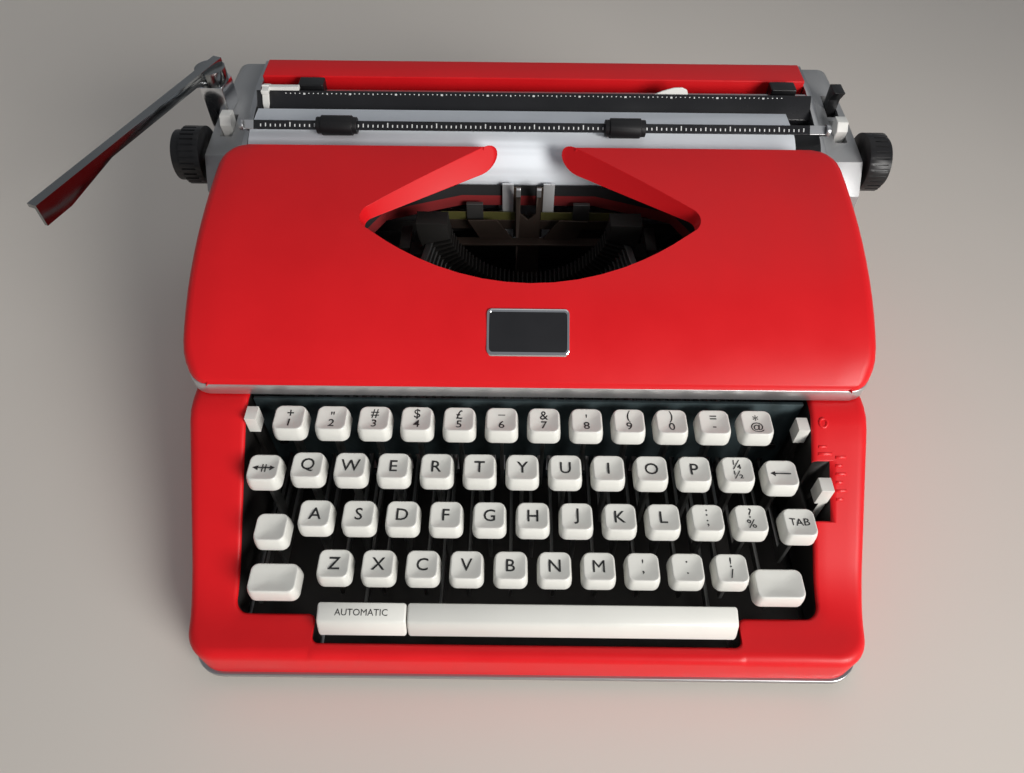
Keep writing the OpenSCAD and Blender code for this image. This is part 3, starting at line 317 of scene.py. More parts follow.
def letters(text, size):
    """Points and faces of a text in its own plane, centred, in millimetres."""
    curve = bpy.data.curves.new("letters", "FONT")
    curve.body = text
    curve.size = size
    curve.align_x = "CENTER"
    curve.resolution_u = 3
    curve.offset = 0 if "M" in text else size * LETTER_BOLD
    obj = bpy.data.objects.new("letters", curve)
    scene.collection.objects.link(obj)
    bpy.context.view_layer.update()
    mesh = bpy.data.meshes.new_from_object(obj.evaluated_get(bpy.context.evaluated_depsgraph_get()))
    points = [(v.co.x, v.co.y) for v in mesh.vertices]
    faces = [tuple(p.vertices) for p in mesh.polygons]
    bpy.data.objects.remove(obj)
    bpy.data.meshes.remove(mesh)
    bpy.data.curves.remove(curve)
    return points, faces


# Cover

COVER_FRONT, COVER_BEND, COVER_REAR = 104.0, 138.0, 225.0
FRONT_TOP_Z, BEND_TOP_Z, REAR_TOP_Z = 87, 124, 126.5
COVER_Z, COVER_HALF, COVER_WALL = 84.0, 155.5, 1.2
COVER_EDGE_R, LEAST_EDGE_R, LEAST_SKIRT = 5.5, 1.0, 1.5
SKIRT_LEAN_HALFWAY, SKIRT_LEAN = 0.4, 1.2
COVER_ROUND, COVER_ROUND_X = 15.0, 10.5
REAR_ROUND, REAR_ROUND_X = 12.0, 8.5
FLANGE_Z, REAR_Z = 116.0, 115.5
FLANGE_LEAN, FLANGE_LEAN_LOSS, LEAST_FLANGE = 0.4, 0.18, 0.2
LIP_DEPTH, LIP_FROM, LIP_GROWTH, CORNER_DEPTH = 0.02, 0.66, 2.6, 0.9
NOSE_REACH = 1.3
PANEL_X, PANEL_Y = 110.0, COVER_FRONT + COVER_ROUND
BORDER_X = (86, 94, 102)
EYE_FRONT, EYE_CORNER, EYE_CORNER_R = 142.0, Vector((84.0, 176.5)), 8.0
WING_TIP, WING_TIP_LOW = Vector((23.1, COVER_REAR)), Vector((24.0, 216.4))
FLANGE_STEPS = (0, 0.03, 0.08, 0.15, 0.25, 0.37, 0.5, 0.63, 0.75, 0.85, 0.93, 0.98, 1.0)
PANEL_STEPS = (0, 0.012, 0.04, 0.14, 0.3, 0.48, 0.66, 0.83, 1.0)
EYE_STEPS = (0, 0.14, 0.28, 0.42, 0.55, 0.66, 0.76, 0.85, 0.93)
WING_STEPS = (0.1, 0.24, 0.4, 0.56, 0.72, 0.86, 0.95, 1.0)


def arc_rows(start, end, angles):
    """Places from start to end, close together at the start as on a quarter circle."""
    return [start + (end - start) * (1 - math.cos(math.radians(a))) for a in angles]


CORNER_ROWS = arc_rows(COVER_FRONT, PANEL_Y, (0, 18, 33, 47, 61, 75, 90))
SIDE_ROWS = [PANEL_Y, 124, 131, 139, 148, 157, 166, 175, 184, 192, 199, 206]
SIDE_ROWS += reversed(arc_rows(COVER_REAR, COVER_REAR - REAR_ROUND, (0, 22, 39, 56, 73, 90)))


def cover_height(y):
    """Height of the cover's top at a distance back, on a curve with three control points."""
    a, b, c = COVER_FRONT, COVER_BEND, COVER_REAR
    t = (-(b - a) + math.sqrt(max(0, (b - a) ** 2 - (a - 2 * b + c) * (a - y)))) / (a - 2 * b + c)
    return FRONT_TOP_Z * (1 - t) ** 2 + 2 * BEND_TOP_Z * t * (1 - t) + REAR_TOP_Z * t * t


def on_cover(spot):
    """Point of the cover's top over a point of the plan."""
    return Vector((spot.x, spot.y, cover_height(spot.y)))


def cover_half(y):
    """Half width of the cover at a distance back, with its round corners."""
    if y < PANEL_Y:
        near, across = (PANEL_Y - y) / COVER_ROUND, COVER_ROUND_X
    else:
        near, across = max(0, y - COVER_REAR + REAR_ROUND) / REAR_ROUND, REAR_ROUND_X
    return COVER_HALF - across + across * math.sqrt(max(0, 1 - near * near))


def cover_side(y):
    """Points of one row beyond the panel: flat, round edge and skirt."""
    half = cover_half(y)
    top = cover_height(y)
    r = max(LEAST_EDGE_R, min(COVER_EDGE_R, top - COVER_Z - LEAST_SKIRT))
    points = [(PANEL_X + (half - r - PANEL_X) * f, y, top) for f in (0.35, 0.7, 1.0)]
    turn = (0.35, 0.7, 1.05, 1.4, math.pi / 2)
    points += [(half - r + r * math.sin(a), y, top - r + r * math.cos(a)) for a in turn]
    halfway = (half - SKIRT_LEAN_HALFWAY, y, (top - r + COVER_Z) / 2)
    return points + [halfway, (half - SKIRT_LEAN, y, COVER_Z)]


def eye_stations():
    """Right half of the eye's edge, from the middle of its front round the corner and along the wing.

    Each station holds the upper point, the lower point of the flange, and the point of the panel's border
    that it is joined to."""
    sag = EYE_CORNER.y - EYE_FRONT
    radius = (EYE_CORNER.x ** 2 + sag ** 2) / (2 * sag)
    ahead = Vector((-1, -EYE_CORNER.x / math.sqrt(radius ** 2 - EYE_CORNER.x ** 2))).normalized()
    along = (WING_TIP - EYE_CORNER).normalized()
    half_angle = ahead.angle(along) / 2
    reach = EYE_CORNER_R / math.tan(half_angle)
    middle = EYE_CORNER + (ahead + along).normalized() * EYE_CORNER_R / math.sin(half_angle)
    first = EYE_CORNER + ahead * reach
    last = EYE_CORNER + along * reach
    stations = []

    def add(spot, inward, lean, depth, target):
        upper = on_cover(spot)
        drop = (upper.z - FLANGE_Z) * depth
        stations.append((upper, Vector((*(spot + inward * lean * drop), upper.z - drop)), target))

    for f in EYE_STEPS:
        x = first.x * f
        y = EYE_FRONT + radius - math.sqrt(radius ** 2 - x ** 2)
        depth = LIP_DEPTH + max(0, f - LIP_FROM) * LIP_GROWTH
        add(Vector((x, y)), Vector((0, 1)), FLANGE_LEAN, depth, Vector((x, PANEL_Y)))
    border = [Vector((x, PANEL_Y)) for x in (first.x, *BORDER_X)]
    border += [Vector((PANEL_X, y)) for y in SIDE_ROWS]
    border += [Vector((x, COVER_REAR)) for x in (*reversed(BORDER_X), last.x)]
    start = math.atan2(first.y - middle.y, first.x - middle.x)
    turn = math.atan2(last.y - middle.y, last.x - middle.x) - start
    for i, target in enumerate(border):
        f = i / (len(border) - 1)
        out = Vector((math.cos(start + turn * f), math.sin(start + turn * f)))
        inward_lean = FLANGE_LEAN - FLANGE_LEAN_LOSS * f
        add(middle + out * EYE_CORNER_R, -out, inward_lean, min(1, CORNER_DEPTH + f), target)
    upper0, lower0 = (p.xy for p in stations[-1][:2])
    for f in WING_STEPS:
        upper = on_cover(upper0 + (WING_TIP - upper0) * f)
        lower = Vector((*(lower0 + (WING_TIP_LOW - lower0) * f), FLANGE_Z))
        stations.append((upper, lower, Vector((upper.x, COVER_REAR))))
    return stations


def wing_nose(before, end):
    """Columns of the round end of a wing's flange, beyond its last station."""
    upper, lower = end[:2]
    along = ((upper - before[0]).normalized() + (lower - before[1]).normalized()).normalized()
    middle = (upper + lower) / 2
    radius = (upper - lower).length / 2
    up = (upper - middle) / radius
    columns = []
    for share in (0.35, 0.7, 1.0):
        column = []
        for step in FLANGE_STEPS:
            rise = 1 - 2 * step
            forward = along * math.sqrt(1 - rise * rise) * share * NOSE_REACH
            column.append(middle + (up * rise + forward) * radius)
        columns.append(column)
    return columns


def add_cover():
    """Thin shell with its eye, wings and skirt; the right half is mirrored."""
    shape = Shape()
    half = eye_stations()
    panel = [[on_cover(u.xy + (target - u.xy) * f) for f in PANEL_STEPS] for u, _, target in half]
    flange = [[u + (v - u) * f for f in FLANGE_STEPS] for u, v, _ in half if u.z - v.z > LEAST_FLANGE]
    flange += wing_nose(half[-2], half[-1])
    rear_edge = [on_cover(s[2]) for s in reversed(half) if s[2].y == COVER_REAR]
    rear_edge += [Vector(p) for p in cover_side(COVER_REAR) if p[2] > REAR_Z + 1]
    rear = [[p + Vector((0, 0, REAR_Z - p.z)) * f for f in FLANGE_STEPS] for p in rear_edge]
    front_x = [s[2].x for s in half if s[2].y == PANEL_Y]
    front = [[(x, y, cover_height(y)) for x in front_x] + cover_side(y) for y in CORNER_ROWS]
    skirt = [(x, y, COVER_Z) for x, y, _ in front[0]]
    sides = [[(PANEL_X, y, cover_height(y))] + cover_side(y) for y in SIDE_ROWS]
    for rows in (panel, flange, rear, [skirt] + front, sides):
        for sign in (-1, 1):
            shape.loft([[(sign * x, y, z) for x, y, z in row] for row in rows], closed=False, cap=False)
    cover = shape.build("cover_shell", [red], "cover", "cover")
    wall = cover.modifiers.new("wall", "SOLIDIFY")
    wall.thickness = COVER_WALL / 1000
    wall.offset = -1
    wall.use_quality_normals = True
    round_edges(cover, 0.4, angle=60)


# Lower case

BASE_TOP, LIP_Z, DECK_Z, LEDGE_Z, RAIL_Z = 9.0, 28, 64, 73.5, 76
SLOPE_FRONT, SLOPE_REAR, FRONT_BEND_R, REAR_BEND_R = 28, 98, 14, 5
CASE_HALF, CASE_FRONT, CASE_REAR, CASE_R, CASE_WALL = 147, 1.5, 290.5, 13, 2.5
CASE_CORNER_X = CASE_HALF - CASE_R
CASE_CORNER_FRONT, CASE_CORNER_REAR = CASE_FRONT + CASE_R, CASE_REAR - CASE_R
RAIL_X, WELL_FRONT, WELL_R = 128, 21, 6
BAR_WELL_FRONT, BAR_WELL_X, BAR_WELL_R = 8.5, 92.5, 3
WALL_EDGE, RAIL_EDGE, FRONT_EDGE = 1.0, 4.0, 5.0
DECK_ROWS, LEDGE_ROWS = (240, 226), (225.9, 170, 108.1)
RAIL_ROWS = (108, 103, 98, 93, 86, 80.6, 73, 66, 57.4, 52, 46, 42, 38, 34, 31, 28.5)
LEAN_FOOT, LEAN_RISE, LEAN_FRONT, LEAN_FRONT_RUN, LEAN_REAR_RUN = 1, 6.5, 2, 36, 74.5
OUTER_FOOT, INNER_FOOT = 3, 4
OUTER_EDGE_SHARE, INNER_EDGE, INNER_EDGE_SHARE = 0.55, 1.6, 0.3
SLOT_Y = (58, 80)
SLOT_OUTLINE = [(130.3, 30), (135.6, 30), (135.6, 90), (126, 90), (126, 42), (130.3, 42)]
MARK_FOOT, MARK_SIDE, MARK_TOP, MARK_INSET = -0.3, 0.1, 0.4, 0.25
RING_X, RING_Y, RING_SIDES = 133.2, 94.2, 24
RING_PROFILE = ((2.3, -0.3), (2.3, 0.1), (1.9, 0.42), (1.5, 0.42), (1.1, 0.1), (1.1, -0.3))


def case_height(y):
    """Height of the case's top along the rails, with soft bends."""
    def soft(t, r):
        return 0 if t <= -r else t if t >= r else (t + r) ** 2 / (4 * r)

    slope = (RAIL_Z - LIP_Z) / (SLOPE_REAR - SLOPE_FRONT)
    return LIP_Z + slope * (soft(y - SLOPE_FRONT, FRONT_BEND_R) - soft(y - SLOPE_REAR, REAR_BEND_R))


def case_stations():
    """Right half of the case's outline, from the middle of the rear to the middle of the front.

    Each station holds the outer and the inner point, the top's height where it is level, and the edge
    radius."""
    stations = []
    for x in (0, 60, CASE_CORNER_X):
        stations.append(((x, CASE_REAR), (x, CASE_REAR - CASE_WALL), DECK_Z, WALL_EDGE))
    for a in range(75, -1, -15):
        c, s = turned(a)
        radii = (CASE_R, CASE_R - CASE_WALL)
        outer, inner = ((CASE_CORNER_X + r * c, CASE_CORNER_REAR + r * s) for r in radii)
        stations.append((outer, inner, DECK_Z, WALL_EDGE))
    for rows, z in ((DECK_ROWS, DECK_Z), (LEDGE_ROWS, LEDGE_Z)):
        stations += [((CASE_HALF, y), (CASE_HALF - CASE_WALL, y), z, WALL_EDGE) for y in rows]
    stations += [((CASE_HALF, y), (RAIL_X, y), None, RAIL_EDGE) for y in RAIL_ROWS]
    for y, inner_y, edge in ((24, 27.9, 4.2), (19, 27.4, 4.5)):
        stations.append(((CASE_HALF, y), (RAIL_X, inner_y), None, edge))
    for a in range(0, 91, 10):
        c, s = turned(a)
        outer = (CASE_CORNER_X + CASE_R * c, CASE_CORNER_FRONT - CASE_R * s)
        inner = (RAIL_X - WELL_R + WELL_R * c, WELL_FRONT + WELL_R - WELL_R * s)
        stations.append((outer, inner, None, FRONT_EDGE))
    into_bar_well = ((118, 113, WELL_FRONT), (106, 101, WELL_FRONT), (97, 95, WELL_FRONT),
                     (95.5, 93.3, 20.2), (94.4, BAR_WELL_X, 18.2))
    for x, inner_x, inner_y in into_bar_well:
        stations.append(((x, CASE_FRONT), (inner_x, inner_y), None, FRONT_EDGE))
    corner_x, corner_y = BAR_WELL_X - BAR_WELL_R, BAR_WELL_FRONT + BAR_WELL_R
    for a in range(0, 91, 22):
        c, s = turned(a)
        inner = (corner_x + BAR_WELL_R * c, corner_y - BAR_WELL_R * s)
        stations.append(((corner_x + 4 * c, CASE_FRONT), inner, None, FRONT_EDGE))
    return stations + [((x, CASE_FRONT), (x, BAR_WELL_FRONT), None, FRONT_EDGE) for x in (80, 55, 28, 0)]


def lean(point):
    """Moves a point of the case's side out, more so the higher it lies."""
    def part(length, whole):
        return min(1, max(0, length / whole))

    x, y, z = point
    front = part(y - LEAN_FRONT, LEAN_FRONT_RUN)
    share = part(abs(x) - RAIL_X, CASE_HALF - RAIL_X) * part(CASE_CORNER_REAR - y, LEAN_REAR_RUN)
    share *= front * front * (3 - 2 * front)
    return (x + share * (LEAN_FOOT + (z - BASE_TOP) * LEAN_RISE / (RAIL_Z - BASE_TOP)), y, z)


def case_ring(outer, inner, flat, radius):
    """Section of the case at one station, from the outer foot over the top to the inner foot."""
    span = math.dist(outer, inner)
    radius = min(radius, span * OUTER_EDGE_SHARE)
    lip = min(INNER_EDGE, span * INNER_EDGE_SHARE)

    def point(inset, drop):
        f = inset / span
        x = outer[0] + (inner[0] - outer[0]) * f
        y = outer[1] + (inner[1] - outer[1]) * f
        return (x, y, (flat or case_height(y)) - drop)

    ring = [(*outer, BASE_TOP), (*outer, BASE_TOP + OUTER_FOOT)]
    for a in range(0, 91, 15):
        c, s = turned(a)
        ring.append(point(radius * (1 - c), radius * (1 - s)))
    ring += [point(radius + (span - lip - radius) * f, 0) for f in (0.25, 0.5, 0.75)]
    for a in range(0, 91, 30):
        c, s = turned(a)
        ring.append(point(span - lip + lip * s, lip * (1 - c)))
    return [lean(p) for p in ring + [(*inner, BASE_TOP + INNER_FOOT)]]


def add_lower_case():
    """Case shell whose inner walls and bottom are painted dark as shade; the right half is mirrored."""
    rings = [case_ring(*s) for s in case_stations()]
    rings += [[(-x, y, z) for x, y, z in ring] for ring in reversed(rings[1:-1])]
    shape = Shape()
    shape.loft(rings, cap=False, wrap=True)
    # The inner walls and the bottom take the second material: painted shade inside the case.
    shaded_wall_from = len(rings[0]) - 2
    for i in range(len(shape.faces)):
        if i % len(rings[0]) >= shaded_wall_from:
            shape.marks[i] = 1
    cut_slot(shape.build("case_shell", [red, dark_steel_and_shade], "body", "lower_case", sharp=40))


def cut_slot(case):
    """Cuts the touch lever's slot into the case's right rail; its sides take the second material, painted
    dark as shade in the slot.
    """
    slot = Shape()
    # Mark 1 paints the slot's sides dark as shade.
    slot.loft([[(x, y, z) for x, z in SLOT_OUTLINE] for y in SLOT_Y], 1)
    cutter = bpy.data.objects.new("slot_cutter", slot.mesh("slot_cutter"))
    scene.collection.objects.link(cutter)
    cut = case.modifiers.new("slot", "BOOLEAN")
    cut.object = cutter
    cut.solver = "EXACT"
    cut.material_mode = "INDEX"
    bpy.context.view_layer.update()
    done = bpy.data.meshes.new_from_object(case.evaluated_get(bpy.context.evaluated_depsgraph_get()))
    case.modifiers.clear()
    case.data = done
    bpy.data.objects.remove(cutter)


def add_rail_marks():
    """Raised ring and strokes on the right rail, beside the touch lever."""
    marks = Shape()

    def on_rail(x, y, lift):
        return (x, y, case_height(y) + lift)

    def stroke(x0, x1, y0, y1):
        base = [(x0, y0), (x1, y0), (x1, y1), (x0, y1)]
        x2, x3, y2, y3 = x0 + MARK_INSET, x1 - MARK_INSET, y0 + MARK_INSET, y1 - MARK_INSET
        top = [(x2, y2), (x3, y2), (x3, y3), (x2, y3)]
        layers = ((base, MARK_FOOT), (base, MARK_SIDE), (top, MARK_TOP))
        marks.loft([[on_rail(x, y, lift) for x, y in outline] for outline, lift in layers])

    rings = []
    for i in range(RING_SIDES):
        c, s = turned(360 * i / RING_SIDES)
        rings.append([on_rail(RING_X + r * c, RING_Y + r * s, lift) for r, lift in RING_PROFILE])
    marks.loft(rings, cap=False, wrap=True)
    stroke(130.6, 134.4, 84.8, 85.8)
    stroke(130.4, 136.8, 82.0, 83.2)
    stroke_pitch = 3.1
    for i in range(6):
        stroke(138.2, 143.0 if i % 2 else 141.4, 65.4 + stroke_pitch * i, 66.5 + stroke_pitch * i)
    marks.build("rail_marks", [red], "body", sharp=50)


# Keyboard

CAP_W, CAP_D, CAP_H, CAP_R = 15.0, 14.5, 8.5, 3.4
CAP_SECTIONS = ((-8.5, 0.5), (-8.2, 0.12), (-7.6, 0.0), (-4.2, 0.08), (-2.0, 0.35), (-0.7, 0.62),
                (-0.25, 0.78), (-0.04, 1.0), (0.0, 1.2))
DISH_DEPTH, DISH_RIM = 1.15, 1.2
DISH_STEPS = (0.94, 0.86, 0.75, 0.62, 0.48, 0.33, 0.16)
INK_MARK, INK_LIFT = 1, 0.12
LETTER_SIZE, PAIR_SIZE, WORD_SIZE = 8.0, 6.0, 4.8
LETTER_SHIFT, PAIR_SHIFTS = 0.4, (2.9, -2.2)
CAPS_REAR, CAP_GAP = 104, 0.2
ARROW_ENDS = {"margin_release": (-1, 1), "backspace": (-1,)}
KEY_PITCH, ROW_DY, ROW_DZ, ROW_Y, ROW_Z = 19.0, 18.9, 9.4, 35.4, 48.0
ROWS = (
    ("keys_bottom_row", -83.25, ["Z", "X", "C", "V", "B", "N", "M", ("'", ","), ("·", "."), ("!", "/")]),
    ("keys_home_row", -92.75, ["A", "S", "D", "F", "G", "H", "J", "K", "L", (":", ";"), ("?", "%")]),
    ("keys_top_row", -97.5, ["Q", "W", "E", "R", "T", "Y", "U", "I", "O", "P", ("¼", "½")]),
    ("keys_number_row", -107.0, [("+", "1"), ("\"", "2"), ("#", "3"), ("$", "4"), ("£", "5"), ("_", "6"),
                                 ("&", "7"), ("'", "8"), ("(", "9"), (")", "0"), ("=", "-"), ("*", "@")]),
)


def dish_drop(dx, dy, width=CAP_W, depth=CAP_D):
    """How far a cap's top lies below its rim, at a distance from its middle."""
    across = dx / (width / 2 - DISH_RIM)
    along = dy / (depth / 2 - DISH_RIM)
    return DISH_DEPTH * max(0.0, 1 - across * across) * max(0.0, 1 - along * along)


def add_cap(shape, x, y, top, width=CAP_W, depth=CAP_D):
    """One cap: upright sides that draw in a little, a tight rim and a dished top."""
    rings = []
    for dz, inset in CAP_SECTIONS:
        outline = rounded_square(x, y, width / 2 - inset, depth / 2 - inset, CAP_R - 0.5 * inset)
        rings.append([(px, py, top + dz) for px, py in outline])
    rim = rings[-1]
    for f in DISH_STEPS:
        ring = [((px - x) * f, (py - y) * f) for px, py, _ in rim]
        rings.append([(x + dx, y + dy, top - dish_drop(dx, dy, width, depth)) for dx, dy in ring])
    shape.loft(rings)


def add_ink(shape, x, y, top, flat, faces):
    """Flat faces just above a cap's top; flat holds points measured from the cap's middle."""
    placed = [(x + dx, y + dy, top + INK_LIFT - dish_drop(dx, dy)) for dx, dy in flat]
    shape.add(placed, faces, INK_MARK)


def add_legend(shape, text, x, y, shift, top, size):
    """Letters on a cap, centred on a point that lies a shift behind the cap's middle."""
    points, faces = letters(text, size)
    xs, ys = zip(*points)
    middle = ((min(xs) + max(xs)) / 2, (min(ys) + max(ys)) / 2)
    add_ink(shape, x, y, top, [(px - middle[0], shift + py - middle[1]) for px, py in points], faces)


def add_key(shape, x, y, top, legend=None, width=CAP_W):
    """Cap with one letter or word, with a pair of signs one behind the other, or bare."""
    add_cap(shape, x, y, top, width)
    if isinstance(legend, tuple):
        for sign, shift in zip(legend, PAIR_SHIFTS):
            add_legend(shape, sign, x, y, shift, top, PAIR_SIZE)
    elif legend:
        size = LETTER_SIZE if len(legend) == 1 else WORD_SIZE
        add_legend(shape, legend, x, y, LETTER_SHIFT, top, size)


def add_arrow(shape, x, y, top, ends):
    """Arrow drawn on a cap, with a head at the left end, or at both and two strokes in its middle."""
    flats = [[(-4.2, -0.3), (4.2, -0.3), (4.2, 0.3), (-4.2, 0.3)]]
    flats += [[(side * 5.0, 0), (side * 2.6, 1.3), (side * 2.6, -1.3)] for side in ends]
    if len(ends) == 2:
        flats += [[(px - 0.25, -2), (px + 0.25, -2), (px + 0.25, 2), (px - 0.25, 2)] for px in (-0.7, 0.7)]
    for flat in flats:
        add_ink(shape, x, y, top, flat, [range(len(flat))])


def under_caps(top):
    """Test that keeps only the lever's faces of a CAD key."""
    return lambda p: not (p.z > top - CAP_H - CAP_GAP and p.y < CAPS_REAR)


def add_keyboard():
    """Caps with their legends over the CAD levers: the four rows, then the keys that move by themselves."""
    for r, (node, first, legends) in enumerate(ROWS):
        y = ROW_Y + r * ROW_DY
        top = ROW_Z + r * ROW_DZ
        caps = Shape()
        for i, legend in enumerate(legends):
            if legend != "H":
                add_key(caps, first + i * KEY_PITCH, y, top, legend)
        dress(node, lever_steel, 0.2, keep=under_caps(top))
        caps.build(node + "_caps", [ivory, ink], node, sharp=50)
    singles = (
        ("key_h", [(2.25, ROW_Y + ROW_DY)], ROW_Z + ROW_DZ, "H", CAP_W),
        ("shift_keys", [(-109.4, 30.4), (108.4, 30.4)], 44.0, None, 22.0),
        ("shift_lock", [(-111.75, 49.3)], 54.0, None, CAP_W),
        ("margin_release", [(-116.5, 71.7)], 66.8, None, CAP_W),
        ("backspace", [(111.5, 71.7)], 66.8, None, CAP_W),
        ("tab_key", [(118.15, 52.8)], 57.4, "TAB", CAP_W),
    )
    for node, places, top, legend, width in singles:
        caps = Shape()
        for x, y in places:
            add_key(caps, x, y, top, legend, width)
            if node in ARROW_ENDS:
                add_arrow(caps, x, y, top, ARROW_ENDS[node])
        dress(node, lever_steel, 0.2, keep=under_caps(top))
        caps.build(node + "_caps", [ivory, ink], node, sharp=50)


BAR_PROFILE = [(11.0, 29.5), (11.1, 31.0), (13.0, 36.6), (13.5, 37.7), (14.4, 38.5), (20.2, 40.25),
               (21.0, 40.3), (21.5, 39.6), (22.4, 31.2), (22.5, 30.5)]
BAR_Y, BAR_Z, BAR_HALF_D, BAR_BOTTOM = 16.75, 35, 6, 29.2
BAR_ENDS = ((0.0, 1.0), (0.25, 0.45), (0.9, 0.0))
LABEL, LABEL_SIZE, LABEL_Y, LABEL_LIFT = "AUTOMATIC", 3.9, 16.0, 0.08


def add_bars():
    """Space bar and the shorter bar beside it, which has a label on its slope."""
    (slope_y, slope_z), (slope_end_y, slope_end_z) = BAR_PROFILE[4:6]
    rise = math.atan2(slope_end_z - slope_z, slope_end_y - slope_y)
    for node, x0, x1 in (("space_bar", -50.8, 89.5), ("automatic_bar", -89.2, -51.4)):
        shape = Shape()
        ends = [(x0 + d, inset) for d, inset in BAR_ENDS]
        ends += [(x1 - d, inset) for d, inset in reversed(BAR_ENDS)]
        rings = []
        for x, inset in ends:
            f = 1 - inset / BAR_HALF_D
            rings.append([(x, BAR_Y + (y - BAR_Y) * f, BAR_Z + (z - BAR_Z) * f) for y, z in BAR_PROFILE])
        shape.loft(rings)
        if node == "automatic_bar":
            points, faces = letters(LABEL, LABEL_SIZE)
            label = []
            for px, py in points:
                z = slope_z + (LABEL_Y - slope_y + py) * math.tan(rise) + LABEL_LIFT
                label.append(((x0 + x1) / 2 + px, LABEL_Y + py * math.cos(rise), z))
            shape.add(label, faces, INK_MARK)
        shape.build(node + "_cap", [ivory, ink], node, sharp=40)
        dress(node, lever_steel, 0.2, keep=lambda p: abs(p.y - BAR_Y) > BAR_HALF_D or p.z < BAR_BOTTOM)


# Carriage

TICK_PITCH = 2.54
TABLE_SLOPE = math.atan2(10, 8)
TABLE_ALONG = (math.cos(TABLE_SLOPE), math.sin(TABLE_SLOPE))
TABLE_OUT = (-TABLE_ALONG[1], TABLE_ALONG[0])
STOP_FOOT_Y, STOP_FOOT_Z, STOP_SIDES = 271.0, 112.8, (0.15, 1.5)
STOP_OUTLINE = [(-148.4, 0), (-147.6, 0), (-146.2, 7), (-146.2, 17), (-150.0, 17), (-150.0, 7)]
SUPPORT_Y, SUPPORT_T, SUPPORT_BEND_Z, SUPPORT_LEAN = 281.4, 0.9, 123, 0.8
SUPPORT_OUTLINE = [(67.5, 120.5), (67.5, 122.3), (74, 125), (80, 126.9), (84.5, 126.9), (87.2, 125.6),
                   (88, 123.5), (88, 120.5)]
BAIL_Y, BAIL_Z, BAIL_TILT, BAIL_HALF, BAIL_ARM_X = 243.1, 126.1, 38, 152.6, 149
BAIL_SCALE_LEFT, BAIL_SCALE_RIGHT = -146, 143
BAIL_OUTLINE = ((-2.4, -0.3), (2.4, -0.3), (2.4, 0.5), (-2.4, 0.5))
BAIL_TICK_HALF, BAIL_TICK_FROM, BAIL_TICK_RISE = 0.28, -1.1, 0.56
TABLE_EDGE_Y, TABLE_EDGE_Z, TABLE_DOT_LIFT = 279.2, 123.0, 0.06
BAIL_TICKS, TABLE_DOTS = range(-56, 56), range(-54, 55)


def add_carriage():
    """Carriage from its CAD pieces, with the scales and stops that the scene adds."""
    for node in ("end_left", "end_right"):
        dress(node, grey, 1.0, 3)
    dress("rear_cover", red, 0.8, 3)
    dress("paper_table", black_paint, 0.3)
    dress("paper_sheet", paper, 0.05, 1)
    dress("lever_bracket", chrome, 0.6)
    dress("return_lever", lever_chrome, 0.5, 3)
    for node in ("margin_stop_left", "margin_stop_right"):
        dress(node, black, 0.9, 3)
    dress("paper_guide", white, 0.5, 3)
    for node in ("carriage_release_left", "carriage_release_right"):
        dress(node, white, 0.7, 3)
    dress("paper_release_lever", black, 0.7, 3)
    for node in ("knob_left", "knob_right"):
        dress(node, black, 0.3)
    dress("platen", rubber, 0.3)
    dress("platen_shaft", steel, 0.2)
    dress("carriage_frame", steel, 0.3)
    for node in ("feed_roller_front", "feed_roller_rear"):
        dress(node, rubber, 0.3)
    add_bail()
    add_table_scale()
    add_paper_stops()


def add_paper_stops():
    """Upright stop of the paper guide, and the support that peeps out behind the paper table."""
    stop = Shape()
    rings = []
    for rise in STOP_SIDES:
        foot_y = STOP_FOOT_Y + rise * TABLE_OUT[0]
        foot_z = STOP_FOOT_Z + rise * TABLE_OUT[1]
        rings.append([(CARRIAGE_X + x, foot_y + along * TABLE_ALONG[0], foot_z + along * TABLE_ALONG[1])
                      for x, along in STOP_OUTLINE])
    stop.loft(rings)
    stop.build("paper_guide_stop", [white], "paper_guide", edge=0.4)
    support = Shape()
    sides = []
    for y in (SUPPORT_Y, SUPPORT_Y + SUPPORT_T):
        sides.append([(x, y - max(0, SUPPORT_BEND_Z - z) * SUPPORT_LEAN, z) for x, z in SUPPORT_OUTLINE])
    support.loft(sides)
    support.build("paper_support", [white], "carriage", edge=0.3)


def add_bail():
    """Paper bail: flat scale bar with bright ends on its two arms, and the stepped rollers."""
    bar = Shape()
    c, s = turned(BAIL_TILT)

    def spot(along, rise):
        return (BAIL_Y + along * c - rise * s, BAIL_Z + along * s + rise * c)

    outline = [spot(*p) for p in BAIL_OUTLINE]
    left, right = CARRIAGE_X + BAIL_SCALE_LEFT, CARRIAGE_X + BAIL_SCALE_RIGHT
    bar.side_prism(left, right, outline, 0)
    for x0, x1 in ((CARRIAGE_X - BAIL_HALF, left), (right, CARRIAGE_X + BAIL_HALF)):
        bar.side_prism(x0, x1, outline, 1)
    for i in BAIL_TICKS:
        length = 2.4 if i % 10 == 0 else 1.9 if i % 5 == 0 else 1.4
        x0, x1 = (CARRIAGE_X + i * TICK_PITCH + side * BAIL_TICK_HALF for side in (-1, 1))
        low, high = (spot(BAIL_TICK_FROM + along, BAIL_TICK_RISE) for along in (0, length))
        bar.add([(x0, *low), (x1, *low), (x1, *high), (x0, *high)], [(0, 1, 2, 3)], 2)
    bar.build("bail_scale", [black_paint, satin, white_ink], "paper_bail", edge=0.25)
    dress("paper_bail", steel, 0.3, keep=lambda p: abs(p.x - CARRIAGE_X) > BAIL_ARM_X)
    dress("bail_rollers", rubber, 0.5, 3)


